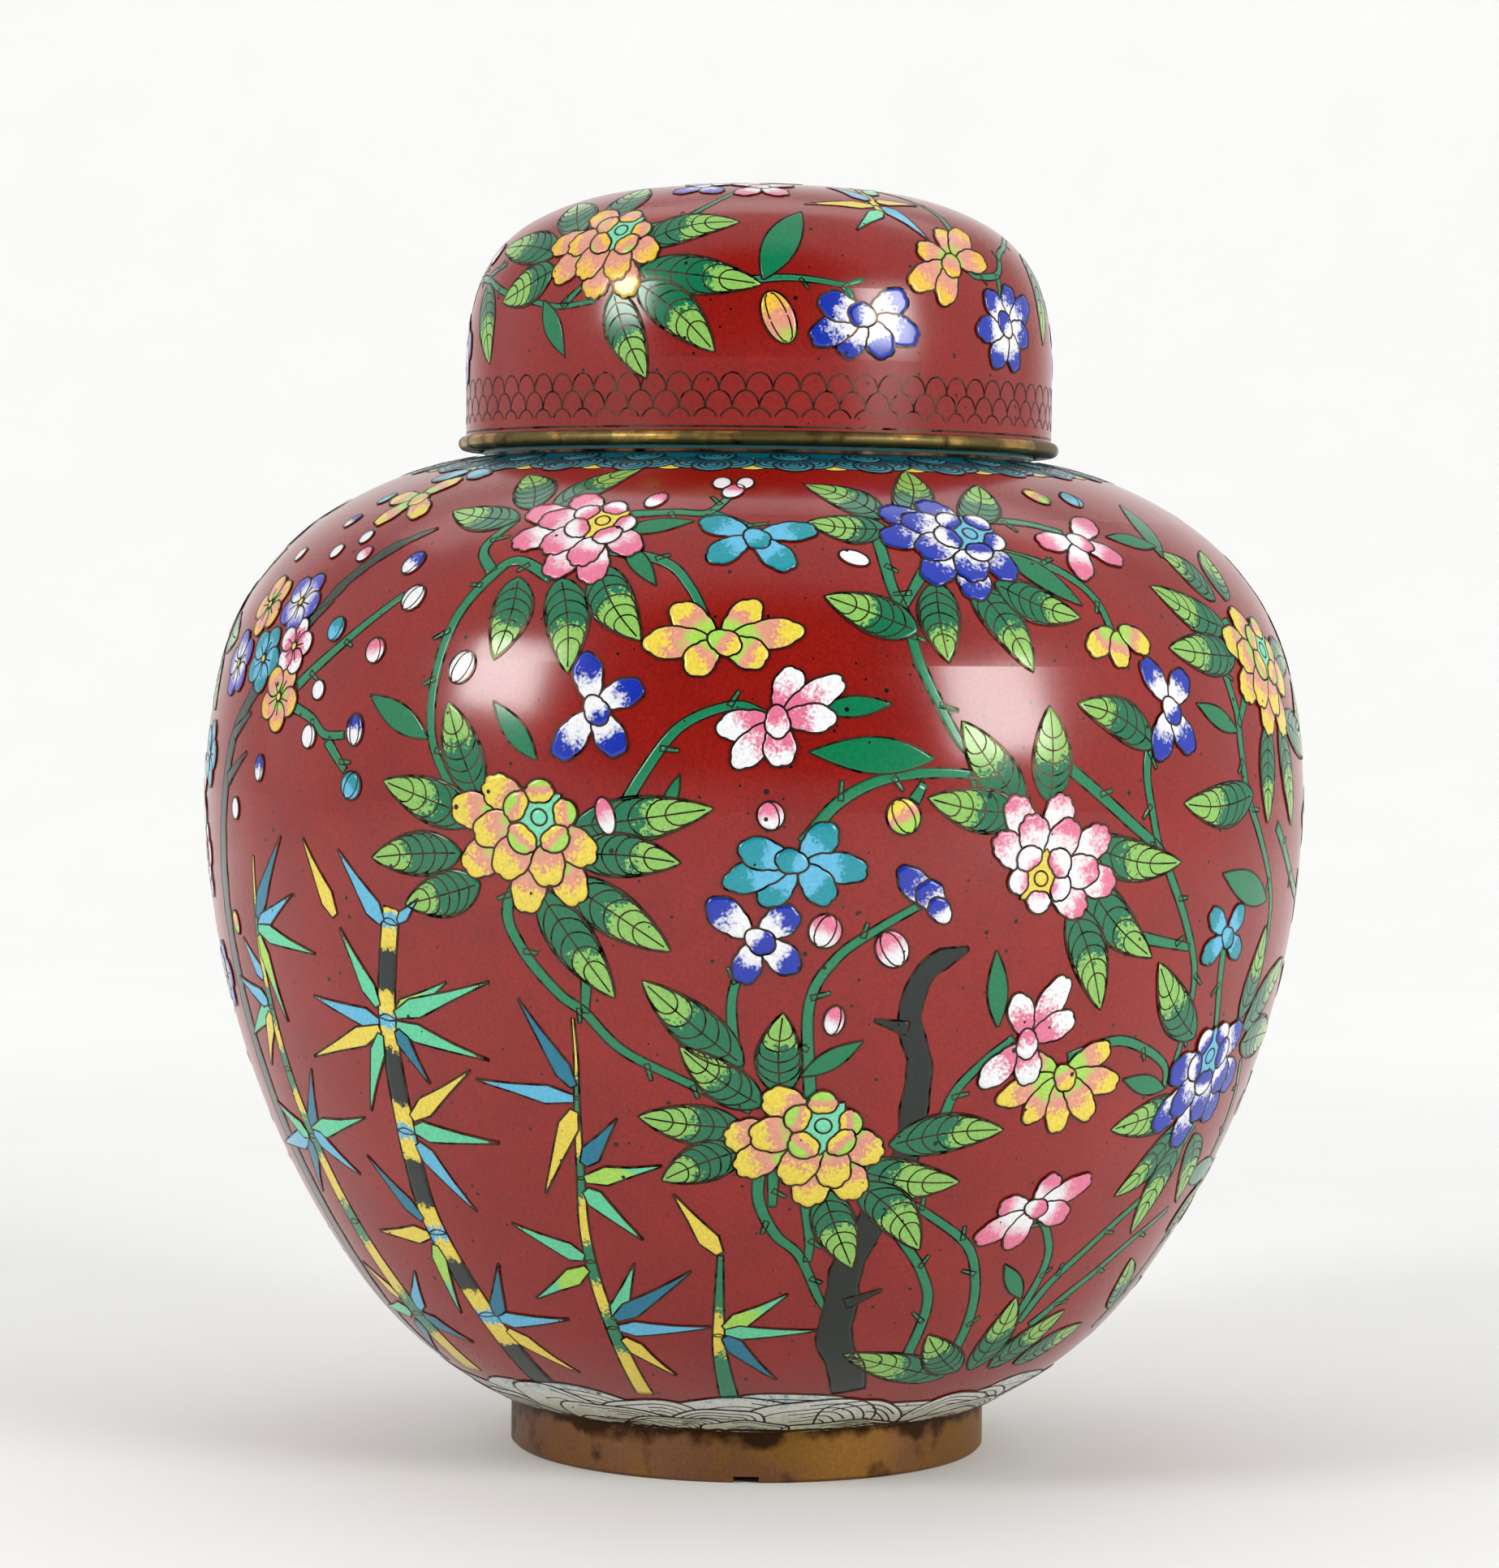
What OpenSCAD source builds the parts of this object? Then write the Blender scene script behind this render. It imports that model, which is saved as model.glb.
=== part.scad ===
// Lidded cloisonne ginger jar: copper shells, enamel skins inside and out,
// brass edges, and a domed lid that lifts off the neck.
// Origin: centre of the foot's underside. Z is up, and it is the axis of every turned piece.

/* [Jar body] */
// Widest diameter of the jar, over its enamel
belly_d = 203; // [190:1:216]
// Height of the widest point above the table
belly_z = 122; // [118:1:128]
// Radius of the curve just above the widest point
shoulder_curve_1 = 88; // [80:1:100]
// Angle at which that curve gives way to the tighter one
shoulder_angle_1 = 16; // [12:1:20]
// Radius of the shoulder's tight turn
shoulder_curve_2 = 46; // [44:1:52]
// Angle at which the tight turn gives way to the flat top of the shoulder
shoulder_angle_2 = 55; // [50:1:58]
// Radius of the flat top of the shoulder
shoulder_curve_3 = 67; // [62:1:72]
// Radius of the long curve below the widest point
bowl_curve_1 = 155; // [150:1:165]
// Angle at which the long curve gives way to the bottom one
bowl_angle = 35; // [33:1:37]
// Radius of the curve that runs in to the foot
bowl_curve_2 = 70; // [66:1:74]

/* [Walls] */
// Thickness of the copper sheet
copper_t = 1; // [0.8:0.1:1.2]
// Thickness of the coloured enamel on the outside
enamel_t = 0.9; // [0.7:0.1:1]
// Thickness of the plain enamel on the inside
lining_t = 0.5; // [0.4:0.1:0.6]
// Width of a cloison wire
wire_w = 0.4; // [0.3:0.1:0.5]

/* [Neck] */
// Diameter of the neck over its enamel
neck_d = 101.8; // [100.8:0.1:102]
// Height of the neck's lip above the table
neck_top_z = 208.2; // [205:0.1:208.4]
// Height of the brass lip on the neck
neck_lip_h = 2.4; // [2:0.1:3]

/* [Foot] */
// Outside diameter of the foot ring
foot_d = 88; // [87:0.5:89]
// Height of the foot ring
foot_h = 9.4; // [9.2:0.1:9.8]
// Thickness of the foot ring's wall
foot_wall = 3; // [2.5:0.1:3.2]
// Width of the notch in the foot ring's lower edge
notch_w = 4.5; // [3:0.1:6]
// Height of that notch
notch_h = 1.2; // [0.8:0.1:1.6]

/* [Borders] */
// Radius of the ring wire around the shoulder border
shoulder_border_r = 62; // [60:0.5:66]
// Height of the top of the wave border's plain foot band
wave_border_z = 14; // [13:0.5:16]
// Height of the fish-scale band on the lid
scale_band_h = 9.6; // [9:0.1:11]

/* [Lid] */
// Outside diameter of the lid's skirt, over its enamel
lid_d = 108.4; // [108:0.1:109]
// Height of the lid rim's underside above the table
lid_rim_z = 183.8; // [183.6:0.1:184.2]
// Height of the brass rim on the lid
lid_rim_h = 2.6; // [2.2:0.1:3]
// Outside diameter of the brass rim on the lid
lid_rim_d = 111.2; // [110.6:0.1:112]
// Height at which the lid's straight skirt ends
skirt_top_z = 199; // [199:0.5:202]
// Radius of the slow curve above the skirt
lid_curve_1 = 60; // [58:1:64]
// Angle at which the slow curve gives way to the tight one
lid_angle_1 = 12; // [11:1:13]
// Radius of the tight turn at the edge of the dome
lid_curve_2 = 22; // [21:1:24]
// Angle at which the tight turn gives way to the crown's outer curve
lid_angle_2 = 61; // [59:1:63]
// Radius of the crown's outer curve
lid_curve_3 = 45; // [43:1:46]
// Angle at which that curve gives way to the flat crown
lid_angle_3 = 82; // [81:1:83]

/* [Hidden] */

$fn = 180;

copper_colour = [0.55, 0.35, 0.22];
brass_colour = [0.62, 0.5, 0.26];
red_colour = [0.58, 0.11, 0.1];
turquoise_colour = [0.1, 0.5, 0.55];
white_colour = [0.78, 0.8, 0.82];

// How far a curve's cutting block reaches past its ends, more than any curve's rise
reach = 60;
// How far past the finished edges the curves are drawn before they are trimmed
low_trim_angle = -80;
high_trim_angle = 87;
// How far the crown's curve is drawn, a little past the axis, before it is trimmed
over_axis_angle = 92;

belly_r = belly_d / 2;
neck_r = neck_d / 2;
foot_r = foot_d / 2;
lid_r = lid_d / 2;
lid_rim_r = lid_rim_d / 2;

// Depths below the outer surface at which each layer ends
copper_in = enamel_t;
lining_in = enamel_t + copper_t;
wall_t = enamel_t + copper_t + lining_t;

// The neck's layers are thinner: its enamel is as thick as the lining
neck_copper_r = neck_r - lining_t;
neck_lining_r = neck_copper_r - copper_t;
neck_bore_r = neck_lining_r - lining_t;
neck_lip_z = neck_top_z - neck_lip_h;
// How far the neck's copper tube and lining reach down inside the shoulder
neck_drop = 6;
neck_foot_z = lid_rim_z - neck_drop;

base_top_z = foot_h;
base_r = foot_r - foot_wall;

lid_skirt_z = lid_rim_z + lid_rim_h;
lid_strip_h = 0.8;
scale_band_z = lid_skirt_z + lid_strip_h;
lid_bore_r = lid_r - wall_t;

// A unit step in the outline's plane at an angle from level
function dir(a) = [cos(a), sin(a)];

// The centre of the curve of radius r2 that carries on smoothly from the curve (c, r1) at angle a
function next_centre(c, r1, r2, a) = c + (r1 - r2) * dir(a);

// The point on a curve, given as [centre, radius, start angle, end angle], at one angle and inset
function curve_point(curve, angle, inset) = curve[0] + (curve[1] - inset) * dir(angle);

bowl_c1 = [belly_r - bowl_curve_1, belly_z];
bowl_c2 = next_centre(bowl_c1, bowl_curve_1, bowl_curve_2, -bowl_angle);
shoulder_c1 = [belly_r - shoulder_curve_1, belly_z];
shoulder_c2 = next_centre(shoulder_c1, shoulder_curve_1, shoulder_curve_2, shoulder_angle_1);
shoulder_c3 = next_centre(shoulder_c2, shoulder_curve_2, shoulder_curve_3, shoulder_angle_2);

body_curves = [
    [bowl_c2, bowl_curve_2, low_trim_angle, -bowl_angle],
    [bowl_c1, bowl_curve_1, -bowl_angle, 0],
    [shoulder_c1, shoulder_curve_1, 0, shoulder_angle_1],
    [shoulder_c2, shoulder_curve_2, shoulder_angle_1, shoulder_angle_2],
    [shoulder_c3, shoulder_curve_3, shoulder_angle_2, high_trim_angle]
];

lid_c1 = [lid_r - lid_curve_1, skirt_top_z];
lid_c2 = next_centre(lid_c1, lid_curve_1, lid_curve_2, lid_angle_1);
lid_c3 = next_centre(lid_c2, lid_curve_2, lid_curve_3, lid_angle_2);
// The crown's radius is the one that puts its centre on the lid's axis
crown_curve = lid_curve_3 + lid_c3[0] / cos(lid_angle_3);
lid_c4 = next_centre(lid_c3, lid_curve_3, crown_curve, lid_angle_3);

lid_curves = [
    [lid_c1, lid_curve_1, 0, lid_angle_1],
    [lid_c2, lid_curve_2, lid_angle_1, lid_angle_2],
    [lid_c3, lid_curve_3, lid_angle_2, lid_angle_3],
    [lid_c4, crown_curve, lid_angle_3, over_axis_angle]
];

// The rounded part of an outline that lies outside one curve's chord
module bulge(curve, inset) {
    from = curve_point(curve, curve[2], inset);
    to = curve_point(curve, curve[3], inset);
    out = dir((curve[2] + curve[3]) / 2);
    intersection() {
        translate(curve[0]) circle(r = curve[1] - inset);
        polygon([from, to, to + reach * out, from + reach * out]);
    }
}

// Everything between the axis and a chain of curves, each layer's inset measured square to it
module inside(curves, inset, floor_z) {
    ends = [for (c = curves) curve_point(c, c[3], inset)];
    first = curve_point(curves[0], curves[0][2], inset);
    last = ends[len(ends) - 1];
    intersection() {
        union() {
            for (c = curves) bulge(c, inset);
            polygon(concat([[0, floor_z], [first[0], floor_z], first], ends, [[0, last[1]]]));
        }
        window(0, belly_r + reach, floor_z, last[1] + reach);
    }
}

// A layer of the jar's wall, between two depths below its outer surface
module body_layer(from, to) {
    low = curve_point(body_curves[0], low_trim_angle, 0)[1];
    difference() {
        inside(body_curves, from, low - 1);
        inside(body_curves, to, low - 1);
    }
}

// A layer of the lid's wall, between two depths below its outer surface
module lid_layer(from, to) {
    difference() {
        inside(lid_curves, from, lid_skirt_z);
        inside(lid_curves, to, lid_skirt_z);
    }
}

// A rectangular window on the outline, from radius r1 to r2 and from height z1 to z2
module window(r1, r2, z1, z2) {
    translate([r1, z1]) square([r2 - r1, z2 - z1]);
}

module lower_window(z1) {
    window(0, belly_r + 1, z1, belly_z);
}

module upper_window(r1, r2) {
    window(r1, r2, belly_z, lid_rim_z);
}

// Copper ring that the jar stands on, with a small notch in its lower edge
module foot_ring() {
    edge = 0.6;
    color(copper_colour) difference() {
        rotate_extrude() polygon([
            [base_r, edge], [base_r + edge, 0], [foot_r - edge, 0], [foot_r, edge],
            [foot_r, foot_h], [base_r, foot_h]
        ]);
        translate([-notch_w / 2, -foot_r - 1, -1]) cube([notch_w, foot_wall + 2, notch_h + 1]);
    }
}

// Copper disc soldered inside the foot ring
module base_plate() {
    color(copper_colour) translate([0, 0, base_top_z - copper_t])
        cylinder(r = base_r, h = copper_t);
}

// Plain enamel on the underside of the base
module base_enamel() {
    color(turquoise_colour) translate([0, 0, base_top_z - copper_t - lining_t])
        cylinder(r = base_r, h = lining_t);
}

// Lower half of the copper body, from the foot to the widest point
module lower_bowl() {
    color(copper_colour) rotate_extrude() intersection() {
        body_layer(copper_in, lining_in);
        lower_window(foot_h);
    }
}

// Upper half of the copper body, from the widest point to the neck
module upper_shoulder() {
    color(copper_colour) rotate_extrude() intersection() {
        body_layer(copper_in, lining_in);
        upper_window(neck_copper_r, belly_r + 1);
    }
}

// Straight copper tube of the neck
module neck_collar() {
    color(copper_colour) rotate_extrude()
        window(neck_lining_r, neck_copper_r, neck_foot_z, neck_lip_z);
}

// Rounded brass lip around the mouth
module neck_lip() {
    round_r = (neck_r - neck_bore_r) / 2;
    color(brass_colour) rotate_extrude() {
        window(neck_bore_r, neck_r, neck_lip_z, neck_top_z - round_r);
        translate([neck_bore_r + round_r, neck_top_z - round_r]) circle(r = round_r);
    }
}

// Height of the jar's outer surface on the flat top of the shoulder
function shoulder_z(r) =
    shoulder_c3[1] + sqrt(shoulder_curve_3 * shoulder_curve_3 - pow(r - shoulder_c3[0], 2));

// Plain enamel around the outside of the neck, hidden by the lid when it is on
module neck_enamel() {
    color(turquoise_colour) rotate_extrude()
        window(neck_copper_r, neck_r, shoulder_z(neck_copper_r) + wire_w, neck_lip_z);
}

// Plain enamel inside the body and over its floor
module body_lining() {
    color(turquoise_colour) rotate_extrude() {
        intersection() {
            body_layer(lining_in, wall_t);
            union() {
                lower_window(foot_h);
                upper_window(neck_copper_r, belly_r + 1);
            }
        }
        window(0, base_r - 2, foot_h, foot_h + lining_t);
    }
}

// Plain enamel inside the neck
module neck_lining() {
    color(turquoise_colour) rotate_extrude()
        window(neck_bore_r, neck_lining_r, neck_foot_z, neck_lip_z);
}

// Red enamel field that carries the garden of flowers
module body_enamel() {
    color(red_colour) rotate_extrude() intersection() {
        body_layer(0, copper_in);
        union() {
            lower_window(wave_border_z + wire_w);
            upper_window(shoulder_border_r + wire_w, belly_r + 1);
        }
    }
}

// Turquoise border around the foot of the neck
module shoulder_border() {
    color(turquoise_colour) rotate_extrude() intersection() {
        body_layer(0, copper_in);
        upper_window(neck_r + wire_w, shoulder_border_r);
    }
}

// A wire bent into a ring on the top of the shoulder, from radius r outwards
module shoulder_wire(r) {
    rotate_extrude() intersection() {
        body_layer(0, copper_in);
        upper_window(r, r + wire_w);
    }
}

// Wire between the shoulder border and the red field
module shoulder_ring_wire() {
    color(brass_colour) shoulder_wire(shoulder_border_r);
}

// Wire around the foot of the neck
module neck_ring_wire() {
    color(brass_colour) shoulder_wire(neck_r);
}

// White enamel band just above the foot
module wave_border() {
    color(white_colour) rotate_extrude() intersection() {
        body_layer(0, copper_in);
        lower_window(foot_h);
        window(0, belly_r, foot_h, wave_border_z);
    }
}

// Wire between that band and the red field
module wave_ring_wire() {
    color(brass_colour) rotate_extrude() intersection() {
        body_layer(0, copper_in);
        window(0, belly_r, wave_border_z, wave_border_z + wire_w);
    }
}

// Copper dome and skirt of the lid
module lid_dome() {
    color(copper_colour) rotate_extrude() lid_layer(copper_in, lining_in);
}

// Plain enamel inside the lid
module lid_lining() {
    color(turquoise_colour) rotate_extrude() lid_layer(lining_in, wall_t);
}

// Red enamel on the lid above the fish-scale band
module lid_enamel() {
    color(red_colour) rotate_extrude() intersection() {
        lid_layer(0, copper_in);
        window(0, lid_r + 1, scale_band_z + scale_band_h, neck_top_z + reach);
    }
}

// Red enamel under the fish-scale wires around the lid's skirt
module lid_scale_band() {
    color(red_colour) rotate_extrude() intersection() {
        lid_layer(0, copper_in);
        window(0, lid_r + 1, scale_band_z, scale_band_z + scale_band_h);
    }
}

// Plain enamel strip between the fish scales and the lid's rim
module lid_edge_strip() {
    color(red_colour) rotate_extrude() intersection() {
        lid_layer(0, copper_in);
        window(0, lid_r + 1, lid_skirt_z, scale_band_z - wire_w);
    }
}

// Wire between the fish-scale band and the plain strip below it
module lid_ring_wire() {
    color(brass_colour) rotate_extrude() intersection() {
        lid_layer(0, copper_in);
        window(0, lid_r + 1, scale_band_z - wire_w, scale_band_z);
    }
}

// Half-round brass rim on the lower edge of the lid
module lid_rim() {
    round_r = lid_rim_h / 2;
    color(brass_colour) rotate_extrude() {
        window(lid_bore_r, lid_rim_r - round_r, lid_rim_z, lid_skirt_z);
        translate([lid_rim_r - round_r, lid_rim_z + round_r]) circle(r = round_r);
    }
}

foot_ring();
base_plate();
base_enamel();
lower_bowl();
upper_shoulder();
neck_collar();
neck_lip();
neck_enamel();
body_lining();
neck_lining();
body_enamel();
shoulder_border();
shoulder_ring_wire();
wave_border();
wave_ring_wire();
neck_ring_wire();
lid_dome();
lid_lining();
lid_enamel();
lid_scale_band();
lid_edge_strip();
lid_ring_wire();
lid_rim();
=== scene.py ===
"""Lidded cloisonne ginger jar: enamel gardens laid cell by cell over the turned copper shells.

Places on the jar are given as (azimuth, height): degrees round from the front, positive to the
right, and millimetres above the table. Shapes are drawn flat in millimetres and laid on the skin.
"""

import logging
import math
import random
import zlib
from collections.abc import Callable, Sequence
from dataclasses import dataclass, field
from enum import Enum

import bpy
import numpy as np
from mathutils import Matrix, Vector


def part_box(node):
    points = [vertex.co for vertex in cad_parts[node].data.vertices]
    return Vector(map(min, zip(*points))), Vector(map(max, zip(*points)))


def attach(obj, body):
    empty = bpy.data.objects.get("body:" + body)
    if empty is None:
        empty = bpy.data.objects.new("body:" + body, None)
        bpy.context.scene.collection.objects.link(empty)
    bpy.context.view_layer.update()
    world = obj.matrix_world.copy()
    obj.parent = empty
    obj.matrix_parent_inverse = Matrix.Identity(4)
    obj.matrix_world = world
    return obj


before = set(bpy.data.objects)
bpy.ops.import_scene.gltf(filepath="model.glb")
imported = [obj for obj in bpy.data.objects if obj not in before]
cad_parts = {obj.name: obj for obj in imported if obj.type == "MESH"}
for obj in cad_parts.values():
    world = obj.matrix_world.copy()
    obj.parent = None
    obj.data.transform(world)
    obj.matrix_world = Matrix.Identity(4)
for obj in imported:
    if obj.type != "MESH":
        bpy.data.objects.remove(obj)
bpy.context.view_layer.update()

LOG = logging.getLogger("ginger_jar")
MM = 0.001

Place = tuple[float, float]
Span = tuple[float, float, float, float]
Socket = bpy.types.NodeSocket

# Heights in millimetres at which the layers of cells lie over the polished ground
STEM_LIFT = 0.030
LEAF_LIFT = 0.055
BLOOM_LIFT = 0.170
LAYER_STEP = 0.014
WIRE_PROUD = 0.007
CELL_DEPTH = 0.05
WIRE_WIDTH = 0.36
# Longest stretch between two rings of a cell's mesh
RING_GAP = 1.0
# Spacing of the points along a skin's outline, and how many of them a first rough search skips
OUTLINE_STEP = 0.1
ROUGH_STEP = 10
# Outline points nearer than this are the same point
SAME_POINT = 0.05
# The part of a noise's range that most of its values fall in
NOISE_RANGE = (0.3, 0.7)
GLASS_IOR = 1.52


class Shade(Enum):
    """The enamel and metal colours, as sRGB hex values."""

    RED = "#86140c"
    LEAF_DARK = "#0d6b47"
    LEAF_LIGHT = "#84b858"
    STEM = "#1b7a52"
    PLAIN_LEAF = "#0c7349"
    YELLOW = "#e0c948"
    GOLD = "#e3b83a"
    PEACH = "#d8917c"
    APPLE = "#a0cf52"
    PINK = "#d9718f"
    WHITE = "#e6e6e8"
    COBALT = "#162fa2"
    VIOLET = "#4a49b8"
    SKY = "#5bb0d2"
    TURQUOISE = "#128a98"
    TEAL = "#10708c"
    LAPPET = "#0b6379"
    SEA = "#5cc796"
    MINT = "#6fd0a8"
    BARK = "#141e19"
    GREY_BARK = "#2e3d35"
    ROCK = "#d2d4cc"
    ROCK_SHADE = "#6f9aa6"
    ROCK_OLIVE = "#bfc6ac"
    PIT = "#0c0605"
    SOOT = "#2b211a"
    WIRE = "#4d3f33"
    BRASS = "#b8924c"
    OLIVE = "#6b5c36"
    COPPER = "#80593f"
    OCHRE = "#8a6230"
    UMBER = "#3c2818"
    LINING = "#2b8d90"
    FLOOR = "#f2f2f1"


def hex_linear(colour: str) -> tuple[float, float, float, float]:
    """Turn an sRGB hex colour to a linear one.

    Args:
        colour: the colour as "#rrggbb".

    Returns:
        Linear red, green, blue and an alpha of one.
    """
    parts = [int(colour[i : i + 2], 16) / 255 for i in (1, 3, 5)]
    linear = [p / 12.92 if p <= 0.04045 else ((p + 0.055) / 1.055) ** 2.4 for p in parts]
    return (linear[0], linear[1], linear[2], 1.0)


def per_metre(size_mm: float) -> float:
    """Return the texture scale whose features are size_mm across."""
    return 1.0 / (size_mm * MM)


class Graph:
    """A node tree being built, with the coordinates that its patterns follow."""

    def __init__(self, tree: bpy.types.NodeTree, source: str = "Object") -> None:
        """Empty the tree.

        Args:
            tree: the node tree.
            source: the name of the coordinates.
        """
        self.tree = tree
        tree.nodes.clear()
        self.coords = self.add_node("ShaderNodeTexCoord").outputs[source]

    def add_node(self, kind: str, values: dict[str | int, object] | None = None) -> bpy.types.Node:
        """Add one node.

        Args:
            kind: the node's type name.
            values: for an input's name or number, or the name of the node's own property, a plain
                value, a shade, or a socket to link.

        Returns:
            The new node.
        """
        node = self.tree.nodes.new(kind)
        for name, value in (values or {}).items():
            if isinstance(value, bpy.types.NodeSocket):
                self.tree.links.new(value, node.inputs[name])
            elif isinstance(name, int) or name in node.inputs:
                shade = isinstance(value, Shade)
                node.inputs[name].default_value = hex_linear(value.value) if shade else value
            else:
                setattr(node, name, value)
        return node

    def ranged(
        self, value: Socket, source: Place, result: Place = (0.0, 1.0), kind: str = "LINEAR"
    ) -> Socket:
        """Stretch a value from one range to another, held at the ends.

        Args:
            value: the socket to stretch.
            source: the range that it comes in.
            result: the range that it leaves in.
            kind: the interpolation's name.

        Returns:
            The socket that carries the result.
        """
        values = {
            "Value": value, "From Min": source[0], "From Max": source[1], "To Min": result[0],
            "To Max": result[1], "interpolation_type": kind,
        }
        return self.add_node("ShaderNodeMapRange", values).outputs[0]

    def noise(self, size_mm: float, detail: float, coords: Socket | None = None) -> Socket:
        """Return a noise whose lumps lie size_mm apart."""
        values = {"Vector": coords or self.coords, "Scale": per_metre(size_mm), "Detail": detail}
        return self.add_node("ShaderNodeTexNoise", values).outputs[0]

    def between(self, size_mm: float, low: float, high: float, detail: float = 2.0) -> Socket:
        """Return a noise whose middle range is stretched to run from low to high."""
        return self.ranged(self.noise(size_mm, detail), NOISE_RANGE, (low, high))

    def mixed(self, factor: Socket, first: Socket | Shade, second: Shade) -> Socket:
        """Return the first colour where the factor is zero, and the second where it is one."""
        values = {"data_type": "RGBA", 0: factor, 6: first, 7: second}
        return self.add_node("ShaderNodeMix", values).outputs[2]

    def math(self, operation: str, first: Socket | float, second: Socket | float) -> Socket:
        """Return the outcome of one sum."""
        values = {"operation": operation, 0: first, 1: second}
        return self.add_node("ShaderNodeMath", values).outputs[0]

    def shaded(self, colour: Socket | Shade, value: Socket) -> Socket:
        """Return a colour made lighter or darker by a value."""
        return self.add_node("ShaderNodeHueSaturation", {"Color": colour, "Value": value}).outputs[0]

    def bump(self, shader: bpy.types.Node, height: Socket, strength: float, depth_mm: float) -> None:
        """Roughen a shader's surface by a height."""
        values = {"Height": height, "Strength": strength, "Distance": depth_mm * MM}
        self.tree.links.new(self.add_node("ShaderNodeBump", values).outputs[0], shader.inputs["Normal"])


@dataclass(frozen=True)
class Finish:
    """A named finish, whose material is made the first time it is asked for."""

    name: str
    slot: str

    def material(self) -> bpy.types.Material:
        """Return the finish's material."""
        material = bpy.data.materials.get(self.name)
        if material is None:
            material = bpy.data.materials.new(self.name)
            material.use_nodes = True
            graph = Graph(material.node_tree)
            shader = graph.add_node("ShaderNodeBsdfPrincipled")
            graph.add_node("ShaderNodeOutputMaterial", {"Surface": shader.outputs[0]})
            self.dress(graph, shader)
        return material

    def dress(self, graph: Graph, shader: bpy.types.Node) -> None:
        """Give the shader its looks."""
        raise NotImplementedError


@dataclass(frozen=True)
class Enamel(Finish):
    """Opaque glass enamel, fired as wet-packed frit and stoned level with the wires.

    The frit shows as fine grain, the bands of colour meet in a ragged line, and burst bubbles
    leave small black pits. Stoning and polishing leave a clear gloss.
    """

    bands: tuple[Shade, ...]
    edges: tuple[float, ...] = ()
    soft: float = 0.06
    ragged: float = 0.09
    # Frit grain is about 0.1 mm; it is drawn coarser so that it shows
    grain_mm: float = 0.55
    grain_depth: float = 0.13
    pit_gap_mm: float = 2.6
    pit_mm: float = 0.30
    roughness: float = 0.17
    # The large ground areas show uneven polish and a faint orange-peel waviness
    ground: bool = False
    # How far apart the ground's drifts of tone, its drifts of polish and its waves lie
    tone_drift_mm: float = 14.0
    polish_drift_mm: float = 30.0
    wave_mm: float = 5.0

    def _banded(self, graph: Graph, grain: Socket) -> Socket:
        """Colour the bands by how far each point lies from its cell's root.

        Args:
            graph: the material's nodes.
            grain: the frit grain, around one.

        Returns:
            The colour socket.
        """
        tone = graph.add_node("ShaderNodeAttribute", {"attribute_name": "tone"}).outputs["Fac"]
        for size in (self.grain_mm, 4 * self.grain_mm):
            tone = graph.math("ADD", tone, graph.between(size, -self.ragged, self.ragged))
        ramp = graph.add_node("ShaderNodeValToRGB", {"Fac": tone})
        stops = ramp.color_ramp.elements
        colours = [hex_linear(band.value) for band in self.bands]
        stops[0].color, stops[1].color = colours[0], colours[-1]
        stops[0].position = self.edges[0] - self.soft
        stops[1].position = self.edges[-1] + self.soft
        for edge, next_edge, colour in zip(self.edges, self.edges[1:], colours[1:]):
            stops.new(edge + self.soft).color = colour
            stops.new(next_edge - self.soft).color = colour
        return graph.shaded(ramp.outputs["Color"], grain)

    def _plain(self, graph: Graph, grain: Socket) -> Socket:
        """Colour a single-shade enamel, with slow drifts of tone over a large ground.

        Args:
            graph: the material's nodes.
            grain: the frit grain, around one.

        Returns:
            The colour socket.
        """
        if self.ground:
            grain = graph.math("MULTIPLY", grain, graph.between(self.tone_drift_mm, 0.9, 1.1, 4.0))
        return graph.shaded(self.bands[0], grain)

    def _pits(self, graph: Graph) -> Socket:
        """Scatter burst bubbles of mixed sizes.

        Args:
            graph: the material's nodes.

        Returns:
            A socket that is one inside a pit and zero elsewhere.
        """
        values = {"Scale": per_metre(self.pit_gap_mm), "Vector": graph.coords}
        cells = graph.add_node("ShaderNodeTexVoronoi", values).outputs
        size = graph.math("POWER", cells["Color"], 3.0)
        radius = graph.math("MULTIPLY", size, 2.0 * self.pit_mm / self.pit_gap_mm)
        return graph.math("LESS_THAN", cells["Distance"], radius)

    def dress(self, graph: Graph, shader: bpy.types.Node) -> None:
        """Give the shader its colour, pits and gloss.

        Args:
            graph: the material's nodes.
            shader: the shader node.
        """
        grain = graph.between(self.grain_mm, 1 - self.grain_depth, 1 + self.grain_depth, 3.0)
        colour = (self._banded if len(self.bands) > 1 else self._plain)(graph, grain)
        colour = graph.mixed(self._pits(graph), colour, Shade.PIT)
        graph.tree.links.new(colour, shader.inputs["Base Color"])
        shader.inputs["IOR"].default_value = GLASS_IOR
        if self.ground:
            low, high = self.roughness - 0.03, self.roughness + 0.06
            polish = graph.between(self.polish_drift_mm, low, high, 5.0)
            graph.tree.links.new(polish, shader.inputs["Roughness"])
            graph.bump(shader, graph.noise(self.wave_mm, 3.0), 0.3, 0.03)
        else:
            shader.inputs["Roughness"].default_value = self.roughness


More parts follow.
